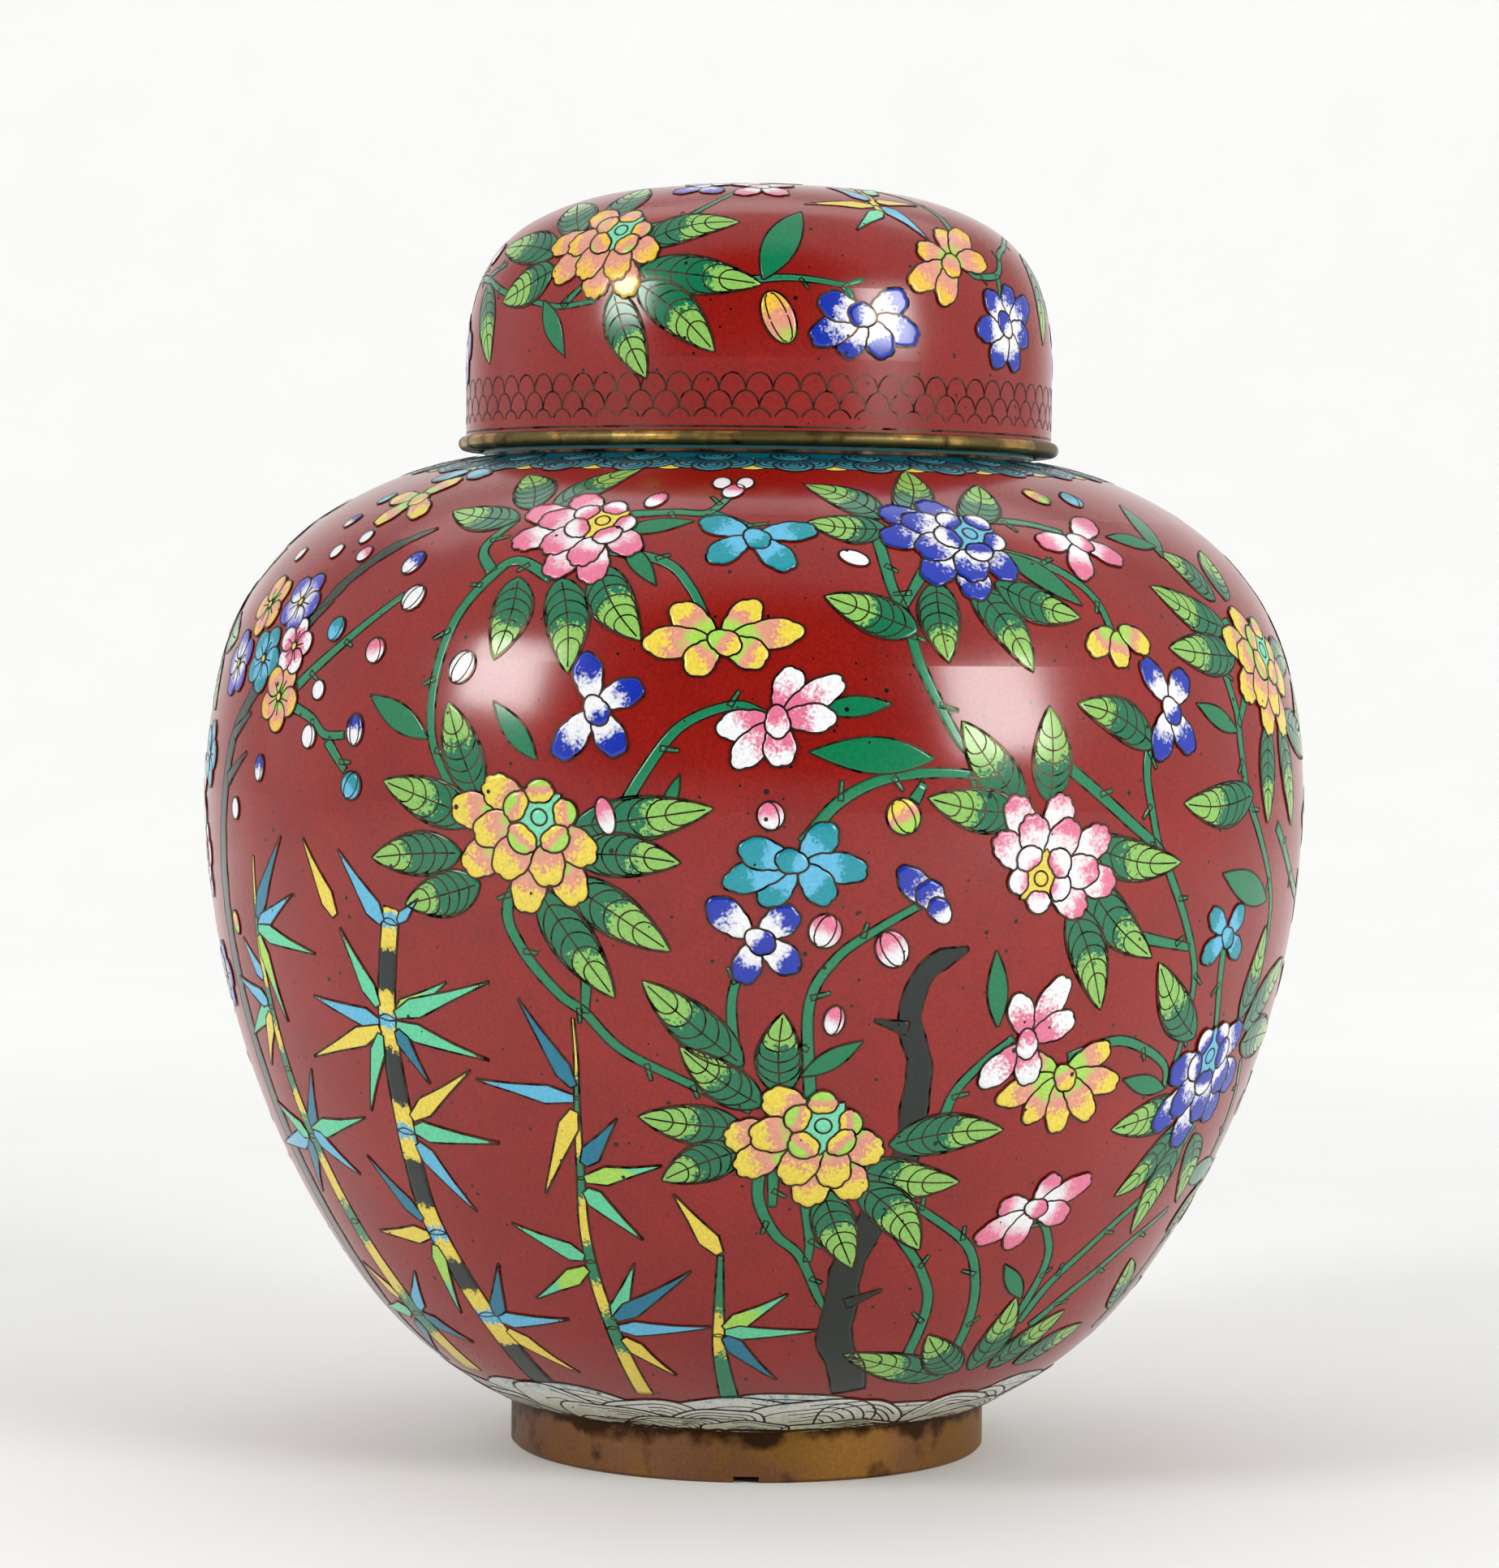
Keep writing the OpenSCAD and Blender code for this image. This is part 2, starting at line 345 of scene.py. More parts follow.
@dataclass(frozen=True)
class AgedMetal(Finish):
    """Copper or brass, turned and rubbed, then darkened by air and handling.

    Bright rubbed patches show through a dull patina, with dark stains and fine turning marks.
    """

    bright: Shade
    patina: Shade
    stain: Shade
    # Share of the surface that the patina covers, from -1 (none) to 1 (all)
    cover: float = 0.0
    # Height of the joint with the next part, towards which the copper darkens over its last 4 mm; zero for
    # none
    joint_mm: float = 0.0
    stain_cover: float = -0.4
    patch_mm: float = 9.0
    low_gloss: float = 0.28
    high_gloss: float = 0.5
    turning_mm: float = 0.35

    def dress(self, graph: Graph, shader: bpy.types.Node) -> None:
        """Give the shader its patches, stains and turning marks.

        Args:
            graph: the material's nodes.
            shader: the shader node.
        """
        patches = graph.between(self.patch_mm, self.cover - 1.2, self.cover + 2.2, 5.0)
        low, high = self.stain_cover - 1.6, self.stain_cover + 1.8
        stains = graph.between(0.6 * self.patch_mm, low, high, 6.0)
        if self.joint_mm:
            height = graph.add_node("ShaderNodeSeparateXYZ", {"Vector": graph.coords}).outputs["Z"]
            joint = ((self.joint_mm - 4.0) * MM, self.joint_mm * MM)
            stains = graph.math("ADD", stains, graph.ranged(height, joint, (0.0, 1.9)))
        patches, stains = (
            graph.add_node("ShaderNodeClamp", {"Value": value}).outputs[0] for value in (patches, stains)
        )
        colour = graph.mixed(patches, self.bright, self.patina)
        colour = graph.mixed(stains, colour, self.stain)
        colour = graph.shaded(colour, graph.between(0.5, 0.85, 1.12, 3.0))
        gloss = graph.ranged(patches, (0.0, 1.0), (self.low_gloss, self.high_gloss))
        graph.tree.links.new(colour, shader.inputs["Base Color"])
        graph.tree.links.new(gloss, shader.inputs["Roughness"])
        shader.inputs["Metallic"].default_value = 1.0
        # Turning marks lie in rings round the axis, so their noise is stretched flat
        values = {"Scale": (0.02, 0.02, 1.0), "Vector": graph.coords}
        rings = graph.add_node("ShaderNodeMapping", values).outputs[0]
        graph.bump(shader, graph.noise(self.turning_mm, 2.0, rings), 0.25, 0.05)


@dataclass(frozen=True)
class Paper(Finish):
    """Matt seamless paper with a faint mottle."""

    colour: Shade
    roughness: float = 0.85

    def dress(self, graph: Graph, shader: bpy.types.Node) -> None:
        """Give the shader its colour and its matt surface.

        Args:
            graph: the material's nodes.
            shader: the shader node.
        """
        colour = graph.shaded(self.colour, graph.between(60.0, 0.985, 1.0, 3.0))
        graph.tree.links.new(colour, shader.inputs["Base Color"])
        shader.inputs["Roughness"].default_value = self.roughness


RED_GROUND = Enamel(
    "fired_red_enamel", "red_enamel", (Shade.RED,), grain_depth=0.2, pit_gap_mm=2.2, pit_mm=0.30,
    roughness=0.17, ground=True,
)
LEAF = Enamel(
    "two_tone_leaf_enamel", "green_enamel", (Shade.LEAF_DARK, Shade.LEAF_LIGHT), (0.50,), soft=0.03,
    ragged=0.06,
)
PLAIN_LEAF = Enamel("dark_leaf_enamel", "green_enamel", (Shade.PLAIN_LEAF,))
STEM = Enamel("stem_green_enamel", "green_enamel", (Shade.STEM,))
BARK = Enamel("black_bark_enamel", "dark_bark_enamel", (Shade.BARK,), grain_depth=0.5)
GREY_BARK = Enamel("grey_bark_enamel", "dark_bark_enamel", (Shade.GREY_BARK,), grain_depth=0.35)
LAPPET = Enamel(
    "teal_border_enamel", "dark_turquoise_enamel", (Shade.LAPPET, Shade.TURQUOISE), (0.75,), soft=0.3
)
ROCK = Enamel(
    "white_rock_enamel", "white_enamel", (Shade.ROCK_OLIVE, Shade.ROCK, Shade.ROCK_SHADE),
    (0.25, 0.80), soft=0.16, ragged=0.20, grain_depth=0.1, roughness=0.22,
)
LINING = Enamel("turquoise_lining_enamel", "lining_enamel", (Shade.LINING,), ground=True, roughness=0.2)
CLOISON = AgedMetal(
    "tarnished_cloison_wire", "aged_brass", Shade.WIRE, Shade.SOOT, Shade.PIT, cover=-0.6, patch_mm=4.0,
    low_gloss=0.35, high_gloss=0.6,
)
BRASS = AgedMetal(
    "rubbed_brass", "aged_brass", Shade.BRASS, Shade.OLIVE, Shade.UMBER, cover=0.45, stain_cover=-0.6
)
FOOT_COPPER = AgedMetal(
    "patinated_copper", "copper", Shade.COPPER, Shade.OCHRE, Shade.UMBER, cover=0.0, stain_cover=-0.6,
    joint_mm=9.5, patch_mm=16.0, low_gloss=0.42, high_gloss=0.55,
)
SHEET_COPPER = AgedMetal("spun_copper", "copper", Shade.COPPER, Shade.UMBER, Shade.PIT, cover=-0.4)


class Glaze(Enum):
    """The enamels that petals, buds, hearts and bamboo are filled with."""

    PINK = Enamel("pink_petal_enamel", "pink_enamel", (Shade.WHITE, Shade.PINK), (0.50,), soft=0.16)
    BLUSH = Enamel(
        "blush_petal_enamel", "white_enamel", (Shade.PINK, Shade.WHITE), (0.52,), soft=0.14, ragged=0.14
    )
    PALE = Enamel(
        "pale_petal_enamel", "pink_enamel", (Shade.WHITE, Shade.PINK), (0.70,), soft=0.16, ragged=0.16
    )
    BLUE = Enamel(
        "cobalt_petal_enamel", "blue_enamel", (Shade.WHITE, Shade.COBALT), (0.50,), soft=0.10, ragged=0.11
    )
    YELLOW = Enamel(
        "yellow_petal_enamel", "yellow_enamel", (Shade.APPLE, Shade.PEACH, Shade.YELLOW), (0.36, 0.64)
    )
    AMBER = Enamel(
        "amber_petal_enamel", "yellow_enamel", (Shade.APPLE, Shade.PEACH, Shade.GOLD), (0.22, 0.66),
        soft=0.1,
    )
    AQUA = Enamel(
        "aqua_petal_enamel", "dark_turquoise_enamel", (Shade.SKY, Shade.TURQUOISE), (0.52,), soft=0.05
    )
    LILAC = Enamel("lilac_petal_enamel", "blue_enamel", (Shade.WHITE, Shade.VIOLET), (0.42,), soft=0.2)
    WHITE = Enamel("white_bud_enamel", "white_enamel", (Shade.WHITE,), grain_depth=0.08)
    LEMON = Enamel("yellow_bud_enamel", "yellow_enamel", (Shade.YELLOW,))
    MINT = Enamel("mint_heart_enamel", "dark_turquoise_enamel", (Shade.MINT,))
    SKY = Enamel(
        "sky_blade_enamel", "blue_enamel", (Shade.SKY, Shade.RED), (0.93,), soft=0.02, ragged=0.12
    )
    TEAL = Enamel(
        "teal_blade_enamel", "dark_turquoise_enamel", (Shade.TEAL, Shade.RED), (0.93,), soft=0.02,
        ragged=0.12,
    )
    SEA = Enamel(
        "sea_blade_enamel", "green_enamel", (Shade.SEA, Shade.RED), (0.93,), soft=0.02, ragged=0.12
    )
    APPLE = Enamel(
        "apple_blade_enamel", "green_enamel", (Shade.APPLE, Shade.SEA), (0.55,), soft=0.06, ragged=0.12
    )
    STRAW = Enamel(
        "straw_blade_enamel", "yellow_enamel", (Shade.YELLOW, Shade.RED), (0.9,), soft=0.02, ragged=0.12
    )
    CANE = Enamel(
        "yellow_cane_enamel", "yellow_enamel", (Shade.STEM, Shade.YELLOW), (0.42,), soft=0.05, ragged=0.1
    )
    GREEN_CANE = Enamel(
        "green_cane_enamel", "green_enamel", (Shade.YELLOW, Shade.STEM), (0.42,), soft=0.05, ragged=0.1
    )
    BLACK_CANE = Enamel(
        "black_cane_enamel", "dark_bark_enamel", (Shade.SKY, Shade.YELLOW, Shade.BARK), (0.14, 0.55),
        soft=0.03, ragged=0.06, grain_depth=0.2,
    )


def rounded_hull(points: np.ndarray) -> np.ndarray:
    """Find the outer side of a turned shell's outline, which bulges all the way.

    Args:
        points: (radius, height) of every vertex, in millimetres.

    Returns:
        The points on the bulging outer side, from the lowest to the highest.
    """
    order = points[np.lexsort((points[:, 0], points[:, 1]))]
    low = order[order[:, 1] < order[0, 1] + SAME_POINT]
    chain = [low[np.argmax(low[:, 0])]]
    for point in order:
        if np.linalg.norm(point - chain[-1]) < SAME_POINT:
            continue
        while len(chain) > 1:
            back = chain[-1] - chain[-2]
            ahead = point - chain[-1]
            # Points on a straight stretch stay, apart from rounding
            if back[0] * ahead[1] - back[1] * ahead[0] > -1e-4:
                break
            chain.pop()
        if point[1] > chain[-1][1]:
            chain.append(point)
    return np.array(chain)


class Skin:
    """The polished outer surface of a turned shell, which the cells are laid on."""

    def __init__(self, *nodes: str) -> None:
        """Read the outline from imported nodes.

        Args:
            nodes: the CAD nodes whose outer sides make up the surface.
        """
        points = []
        for name in nodes:
            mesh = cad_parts[name].data
            flat = np.empty(3 * len(mesh.vertices), np.float32)
            mesh.vertices.foreach_get("co", flat)
            xyz = flat.reshape(-1, 3) / MM
            points.append(np.column_stack((np.hypot(xyz[:, 0], xyz[:, 1]), xyz[:, 2])))
        knots = rounded_hull(np.vstack(points))
        along = np.concatenate(([0.0], np.cumsum(np.linalg.norm(np.diff(knots, axis=0), axis=1))))
        slopes = np.gradient(knots, along, axis=0)
        self.along = np.linspace(0, along[-1], int(along[-1] / OUTLINE_STEP))
        self.curve = self._smooth(knots, slopes, along)
        facing = np.gradient(self.curve, self.along, axis=0)
        facing /= np.linalg.norm(facing, axis=1)[:, None]
        self.facing = facing
        self.coarse = slice(0, len(self.along), ROUGH_STEP)

    def _smooth(self, knots: np.ndarray, slopes: np.ndarray, along: np.ndarray) -> np.ndarray:
        """Draw a smooth cubic curve through the outline's points.

        Args:
            knots: the outline's points.
            slopes: the outline's direction at each of them.
            along: the distance along the outline to each of them.

        Returns:
            The finely spaced points of the curve.
        """
        i = np.clip(np.searchsorted(along, self.along, side="right") - 1, 0, len(along) - 2)
        gap = (along[i + 1] - along[i])[:, None]
        t = (self.along[:, None] - along[i][:, None]) / gap
        start = (1 + 2 * t) * (1 - t) ** 2 * knots[i] + t * (1 - t) ** 2 * gap * slopes[i]
        end = t**2 * (3 - 2 * t) * knots[i + 1] + t**2 * (t - 1) * gap * slopes[i + 1]
        return start + end

    def _distance(self, points: np.ndarray) -> np.ndarray:
        """Return how far along the outline the nearest surface point of each point lies."""
        flat = np.column_stack((np.hypot(points[:, 0], points[:, 1]), points[:, 2]))
        table = self.curve[self.coarse]
        gaps = ((flat[:, None, :] - table[None, :, :]) ** 2).sum(axis=2)
        s = self.along[self.coarse][gaps.argmin(axis=1)]
        for _ in range(3):
            base = self._at(self.curve, s)
            s = np.clip(s + ((flat - base) * self._at(self.facing, s)).sum(axis=1), 0, self.along[-1])
        return s

    def _at(self, table: np.ndarray, s: np.ndarray) -> np.ndarray:
        """Return the values of a table at distances s along the outline."""
        return np.column_stack([np.interp(s, self.along, table[:, k]) for k in (0, 1)])

    def lay(self, points: np.ndarray, lift: float) -> np.ndarray:
        """Drop points on to the surface.

        Args:
            points: N x 3 points near it, in millimetres.
            lift: the height above it at which they end.

        Returns:
            The N x 3 laid points.
        """
        azimuth = np.arctan2(points[:, 0], -points[:, 1])
        s = self._distance(points)
        base = self._at(self.curve, s)
        facing = self._at(self.facing, s)
        radius = base[:, 0] + facing[:, 1] * lift
        height = base[:, 1] - facing[:, 0] * lift
        return np.column_stack((radius * np.sin(azimuth), -radius * np.cos(azimuth), height))

    def normals(self, points: np.ndarray) -> np.ndarray:
        """Return the surface's outward directions nearest to N x 3 points."""
        return self.lay(points, 1.0) - self.lay(points, 0.0)

    def spot(self, azimuth: float, height: float) -> np.ndarray:
        """Find a place on the surface.

        Args:
            azimuth: degrees round from the front.
            height: millimetres above the table.

        Returns:
            The point, in millimetres.
        """
        radius = np.interp(height, self.curve[:, 1], self.curve[:, 0])
        turn = math.radians(azimuth)
        return np.array((radius * math.sin(turn), -radius * math.cos(turn), height))

    def height_at(self, radius: float) -> float:
        """Return the height of the surface above its widest point at a radius."""
        widest = int(self.curve[:, 0].argmax())
        return float(np.interp(-radius, -self.curve[widest:, 0], self.curve[widest:, 1]))


def smooth_path(knots: np.ndarray, gap: float = 1.0) -> np.ndarray:
    """Draw a smooth curve through a few points.

    Args:
        knots: N x 3 points.
        gap: the spacing of the points returned.

    Returns:
        M x 3 points along a Catmull-Rom curve.
    """
    if len(knots) < 3:
        count = max(2, int(np.linalg.norm(knots[-1] - knots[0]) / gap) + 1)
        t = np.linspace(0, 1, count)[:, None]
        return knots[0] * (1 - t) + knots[-1] * t
    padded = np.vstack((2 * knots[0] - knots[1], knots, 2 * knots[-1] - knots[-2]))
    path = [knots[:1]]
    for a, b, c, d in zip(padded, padded[1:], padded[2:], padded[3:]):
        count = max(2, int(np.linalg.norm(c - b) / gap) + 1)
        t = np.linspace(0, 1, count)[1:, None]
        path.append(
            0.5 * (2 * b + (c - a) * t + (2 * a - 5 * b + 4 * c - d) * t**2 + (3 * b - a - 3 * c + d) * t**3)
        )
    return np.vstack(path)


@dataclass
class Shape:
    """A cell drawn flat, its root towards -v and its tip towards +v, in millimetres."""

    rim: np.ndarray
    length: float
    middle: tuple[float, float] = (0.0, 0.0)
    # Wires inside the cell, drawn on it
    veins: list[np.ndarray] = field(default_factory=list)
    # How much later the colour turns at the sides than along the middle
    side_lag: float = 0.0
    tone_shift: float = 0.0

    def tone(self, flat: np.ndarray) -> np.ndarray:
        """Return zero at the root to one at the tip for N x 2 points."""
        width = np.abs(self.rim[:, 0]).max()
        return flat[:, 1] / self.length + 0.5 + self.tone_shift - self.side_lag * (flat[:, 0] / width) ** 2


def petal_shape(length: float, width: float, lobes: int, rng: random.Random) -> Shape:
    """Draw a shell-shaped petal with a scalloped free edge.

    Args:
        length: from root to tip.
        width: across the widest part.
        lobes: scallops along the free edge.
        rng: the source of its small irregularities.

    Returns:
        The petal.
    """
    free_edge = math.radians(112)
    scallop_depth = 0.10
    turn = np.linspace(-math.pi, math.pi, 31)[:-1]
    across = np.clip((turn + free_edge) / (2 * free_edge), 0, 1)
    cusps = np.abs(np.sin(np.pi * lobes * across + rng.uniform(-0.15, 0.15)))
    free = (np.abs(turn) < free_edge).astype(float)
    radius = 1 - free * scallop_depth * (1 - cusps) ** 1.5 + 0.03 * np.sin(2 * turn + rng.uniform(0, 6))
    narrow = 1 - 0.27 * (1 - np.cos(turn)) / 2
    u = -radius * np.sin(turn) * narrow * width / 2
    v = radius * np.cos(turn) * length / 2
    return Shape(np.column_stack((u, v)), length, tone_shift=rng.uniform(-0.08, 0.08))


def leaf_half_width(t: np.ndarray) -> np.ndarray:
    """Return an ovate leaf's half width, as a share of its widest, at t from root to tip."""
    return np.sin(np.pi * t**0.85) ** 0.75 * (1 - 0.18 * t)


def leaf_shape(length: float, width: float, rng: random.Random) -> Shape:
    """Draw an ovate leaf with a midrib and arched side veins.

    Args:
        length: from root to tip.
        width: across the widest part.
        rng: the source of its small irregularities.

    Returns:
        The leaf.
    """
    t = np.linspace(0, 1, 18)
    half = leaf_half_width(t) * width / 2
    half[0], half[-1] = 0.25, 0.0
    v = (t - 0.5) * length
    sway = rng.uniform(-0.08, 0.08) * length * np.sin(np.pi * t)
    right = np.column_stack((half + sway, v))
    left = np.column_stack((-half + sway, v))[::-1][1:]
    veins = [np.column_stack((sway, v))[1:-1]]
    reach = 0.86
    for start in (0.14, 0.27, 0.4, 0.53, 0.66):
        s = np.linspace(0, 1, 7)
        along = start + 0.05 * s + 0.25 * s**2
        bow = np.interp(along, t, half) * reach * np.sin(np.pi * 0.62 * s) / math.sin(math.pi * 0.62)
        spine = np.interp(along, t, sway)
        for side in (1, -1):
            veins.append(np.column_stack((spine + side * bow, (along - 0.5) * length)))
    return Shape(
        np.vstack((right, left)), length, (float(np.interp(0.45, t, sway)), -0.05 * length), veins,
        side_lag=0.14, tone_shift=rng.uniform(-0.1, 0.1),
    )


def blade_shape(length: float, width: float) -> Shape:
    """Draw a plain lance-shaped leaf.

    Args:
        length: from root to tip.
        width: across the widest part.

    Returns:
        The leaf.
    """
    t = np.linspace(0, 1, 14)
    half = np.sin(np.pi * t**0.9) ** 0.9 * width / 2
    half[0], half[-1] = 0.2, 0.1
    v = (t - 0.5) * length
    rim = np.vstack((np.column_stack((half, v)), np.column_stack((-half, v))[::-1]))
    return Shape(rim, length)


def bamboo_blade_shape(length: float, width: float, rng: random.Random) -> Shape:
    """Draw a bamboo leaf: a kite that is widest near its root and drawn out to a long tip.

    Args:
        length: from root to tip.
        width: across the widest part.
        rng: the source of its small irregularities.

    Returns:
        The leaf.
    """
    shoulder = rng.uniform(0.16, 0.27)
    corners = np.array(
        [(0.2, 0.0), (0.5, shoulder), (0.25, 0.6), (0.03, 1.0), (-0.03, 1.0), (-0.23, 0.6),
         (-0.5, shoulder + rng.uniform(-0.05, 0.05)), (-0.2, 0.0)]
    )
    rim = [corners[:1] * (width, length)]
    for a, b in zip(corners, np.roll(corners, -1, axis=0)):
        gap = np.linalg.norm((b - a) * (width, length))
        t = np.linspace(0, 1, max(2, int(gap / RING_GAP) + 1))[1:, None]
        rim.append((a + (b - a) * t) * (width, length))
    outline = np.vstack(rim)[:-1] - (0, length / 2)
    return Shape(outline, length, (0.0, (0.3 - 0.5) * length))


def oval_shape(length: float, width: float, caps: int = 0) -> Shape:
    """Draw a disc or an oval bud.

    Args:
        length: from root to tip.
        width: across it.
        caps: folded petals drawn as arcs from the bud's tip to its root.

    Returns:
        The bud.
    """
    turn = np.linspace(0, 2 * math.pi, 24, endpoint=False)
    rim = np.column_stack((np.cos(turn) * width / 2, np.sin(turn) * length / 2))
    arcs = []
    for side in (1, -1)[:caps]:
        t = np.linspace(0, 1, 8)
        u = side * width * (0.06 + 0.22 * np.sin(np.pi * t))
        v = length * 0.46 * np.cos(np.pi * t)
        arcs.append(np.column_stack((u, v)))
    return Shape(rim, length, veins=arcs)


def star_shape(points: int, outer: float, inner: float) -> Shape:
    """Draw a flower's pointed heart.

    Args:
        points: how many points it has.
        outer: the radius to its points.
        inner: the radius to its notches.

    Returns:
        The heart.
    """
    steps = 6 * points
    turn = np.linspace(0, 2 * math.pi, steps, endpoint=False)
    swell = np.abs(((turn * points / (2 * math.pi)) % 1.0) * 2 - 1)
    radius = inner + (outer - inner) * swell**1.3
    return Shape(np.column_stack((radius * np.cos(turn), radius * np.sin(turn))), 2 * outer)


class Inlay:
    """Cells or wires gathered into one mesh, each closed all round."""

    def __init__(self) -> None:
        """Start empty."""
        self.points: list[np.ndarray] = []
        self.tones: list[np.ndarray] = []
        self.faces: list[tuple[int, ...]] = []
        self.smooth: list[bool] = []
        self.finishes: list[int] = []
        self.count = 0

    def add(
        self,
        points: np.ndarray,
        tones: np.ndarray,
        top: list[tuple[int, ...]],
        rest: list[tuple[int, ...]],
        finish: int = 0,
    ) -> None:
        """Add one closed solid.

        Args:
            points: its corners, in millimetres.
            tones: how far each corner lies from the root.
            top: its polished faces, by corner number.
            rest: its side and bottom faces.
            finish: the number of its finish.
        """
        for faces, smooth in ((top, True), (rest, False)):
            self.faces += [tuple(corner + self.count for corner in face) for face in faces]
            self.smooth += [smooth] * len(faces)
            self.finishes += [finish] * len(faces)
        self.points.append(points)
        self.tones.append(tones)
        self.count += len(points)

    def piece(self, name: str, body: str, *finishes: Finish) -> None:
        """Make the gathered solids, if there are any, into a piece that rides on a body.

        Args:
            name: the piece's name.
            body: the CAD body that it rides on.
            finishes: its finishes, in the order of their numbers.
        """
        if not self.count:
            return
        mesh = bpy.data.meshes.new(name)
        mesh.from_pydata((np.vstack(self.points) * MM).tolist(), [], self.faces)
        mesh.polygons.foreach_set("use_smooth", self.smooth)
        mesh.polygons.foreach_set("material_index", self.finishes)
        tone = mesh.attributes.new("tone", "FLOAT", "POINT")
        tone.data.foreach_set("value", np.concatenate(self.tones).astype(np.float32))
        for finish in finishes:
            mesh.materials.append(finish.material())
        mesh.update()
        piece = bpy.data.objects.new(name, mesh)
        bpy.context.scene.collection.objects.link(piece)
        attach(piece, body)
        LOG.info("%s: %d faces", name, len(self.faces))


@dataclass
class Bench:
    """Lays cells and wires on one skin."""

    skin: Skin
    cells: Inlay
    wires: Inlay

    def with_cells(self, cells: Inlay) -> "Bench":
        """Return a bench that gathers its cells elsewhere and its wires in the same place."""
        return Bench(self.skin, cells, self.wires)

    def pad(self, rim: np.ndarray, middle: np.ndarray, tone: Callable, lift: float, finish: int) -> None:
        """Fill a cell whose middle sees all of its rim.

        Args:
            rim: N x 3 points round it, anticlockwise from outside.
            middle: the point in it that the rings of its mesh shrink to.
            tone: gives the tone of the share k of the way from the middle to each rim point.
            lift: the height of its polished face.
            finish: the number of its finish.
        """
        count = len(rim)
        rings = max(2, math.ceil(np.linalg.norm(rim - middle, axis=1).max() / RING_GAP))
        shares = [1 - k / rings for k in range(rings)]
        loops = [middle + (rim - middle) * share for share in shares]
        points = self.skin.lay(np.vstack((*loops, middle[None, :])), lift)
        under = self.skin.lay(rim, lift - CELL_DEPTH)
        tones = np.concatenate([tone(share) for share in shares] + [tone(0.0)[:1], tone(1.0)])
        centre = count * rings
        top, rest = [], []
        for i in range(count):
            j = (i + 1) % count
            for k in range(rings - 1):
                a, b = k * count, (k + 1) * count
                top.append((a + i, a + j, b + j, b + i))
            last = (rings - 1) * count
            top.append((last + i, last + j, centre))
            rest.append((i, centre + 1 + i, centre + 1 + j, j))
        rest.append(tuple(centre + 1 + i for i in reversed(range(count))))
        self.cells.add(np.vstack((points, under)), tones, top, rest, finish)

    def wire(self, path: np.ndarray, lift: float, closed: bool = False, width: float = WIRE_WIDTH) -> None:
        """Bend a flat wire along a path.

        Args:
            path: N x 3 points.
            lift: the height of its rubbed edge.
            closed: whether it joins up with its own start.
            width: how thick the wire is.
        """
        ahead = np.roll(path, -1, axis=0) - np.roll(path, 1, axis=0)
        if not closed:
            ahead[0], ahead[-1] = path[1] - path[0], path[-1] - path[-2]
        side = np.cross(ahead, self.skin.normals(path))
        side *= width / 2 / np.maximum(np.linalg.norm(side, axis=1), 1e-9)[:, None]
        rows = [
            self.skin.lay(path - side, lift),
            self.skin.lay(path + side, lift),
            self.skin.lay(path + side, lift - CELL_DEPTH),
            self.skin.lay(path - side, lift - CELL_DEPTH),
        ]
        points = np.stack(rows, axis=1).reshape(-1, 3)
        count = len(path)
        faces = []
        for i in range(count if closed else count - 1):
            a, b = 4 * i, 4 * ((i + 1) % count)
            for k in range(4):
                m = (k + 1) % 4
                faces.append((a + k, a + m, b + m, b + k))
        if not closed:
            faces += [(3, 2, 1, 0), tuple(4 * (count - 1) + k for k in range(4))]
        self.wires.add(points, np.zeros(len(points)), [], faces)

    def strip(
        self,
        path: np.ndarray,
        half: np.ndarray,
        lift: float,
        tone: np.ndarray | None = None,
        wire_width: float = WIRE_WIDTH,
    ) -> tuple[np.ndarray, np.ndarray]:
        """Lay a long cell, such as a stem, with a wire round it.

        Args:
            path: N x 3 points along its middle.
            half: its half width at each.
            lift: the height of its polished face.
            tone: its tone at each, or none for zero all along.
            wire_width: how thick its wire is.

        Returns:
            The left and the right side, as N x 3 points.
        """
        tone = np.zeros(len(path)) if tone is None else tone
        ahead = np.gradient(path, axis=0)
        side = np.cross(ahead, self.skin.normals(path))
        side *= (half / np.maximum(np.linalg.norm(side, axis=1), 1e-9))[:, None]
        columns = 2 * max(1, math.ceil(half.max() / RING_GAP)) + 1
        shares = np.linspace(-1, 1, columns)
        top_points = np.stack([self.skin.lay(path + side * k, lift) for k in shares], axis=1)
        low = [self.skin.lay(path + side * k, lift - CELL_DEPTH) for k in (-1, 1)]
        count = len(path)
        points = np.vstack((top_points.reshape(-1, 3), *low))
        tones = np.concatenate((np.repeat(tone, columns), tone, tone))
        # The numbers of the first corner of the left and of the right lower edge
        left, right = count * columns, count * columns + count
        top, rest = [], []
        for i in range(count - 1):
            a, b = i * columns, (i + 1) * columns
            top += [(a + k, a + k + 1, b + k + 1, b + k) for k in range(columns - 1)]
            rest += [
                (a + columns - 1, right + i, right + i + 1, b + columns - 1),
                (b, left + i + 1, left + i, a),
                (left + i, left + i + 1, right + i + 1, right + i),
            ]
        rest.append((*range(columns - 1, -1, -1), left, right))
        end = (count - 1) * columns
        rest.append((*range(end, end + columns), right + count - 1, left + count - 1))
        self.cells.add(points, tones, top, rest)
        sides = (path - side, path + side)
        self.wire(np.vstack((sides[0], sides[1][::-1])), lift + WIRE_PROUD, closed=True, width=wire_width)
        return sides

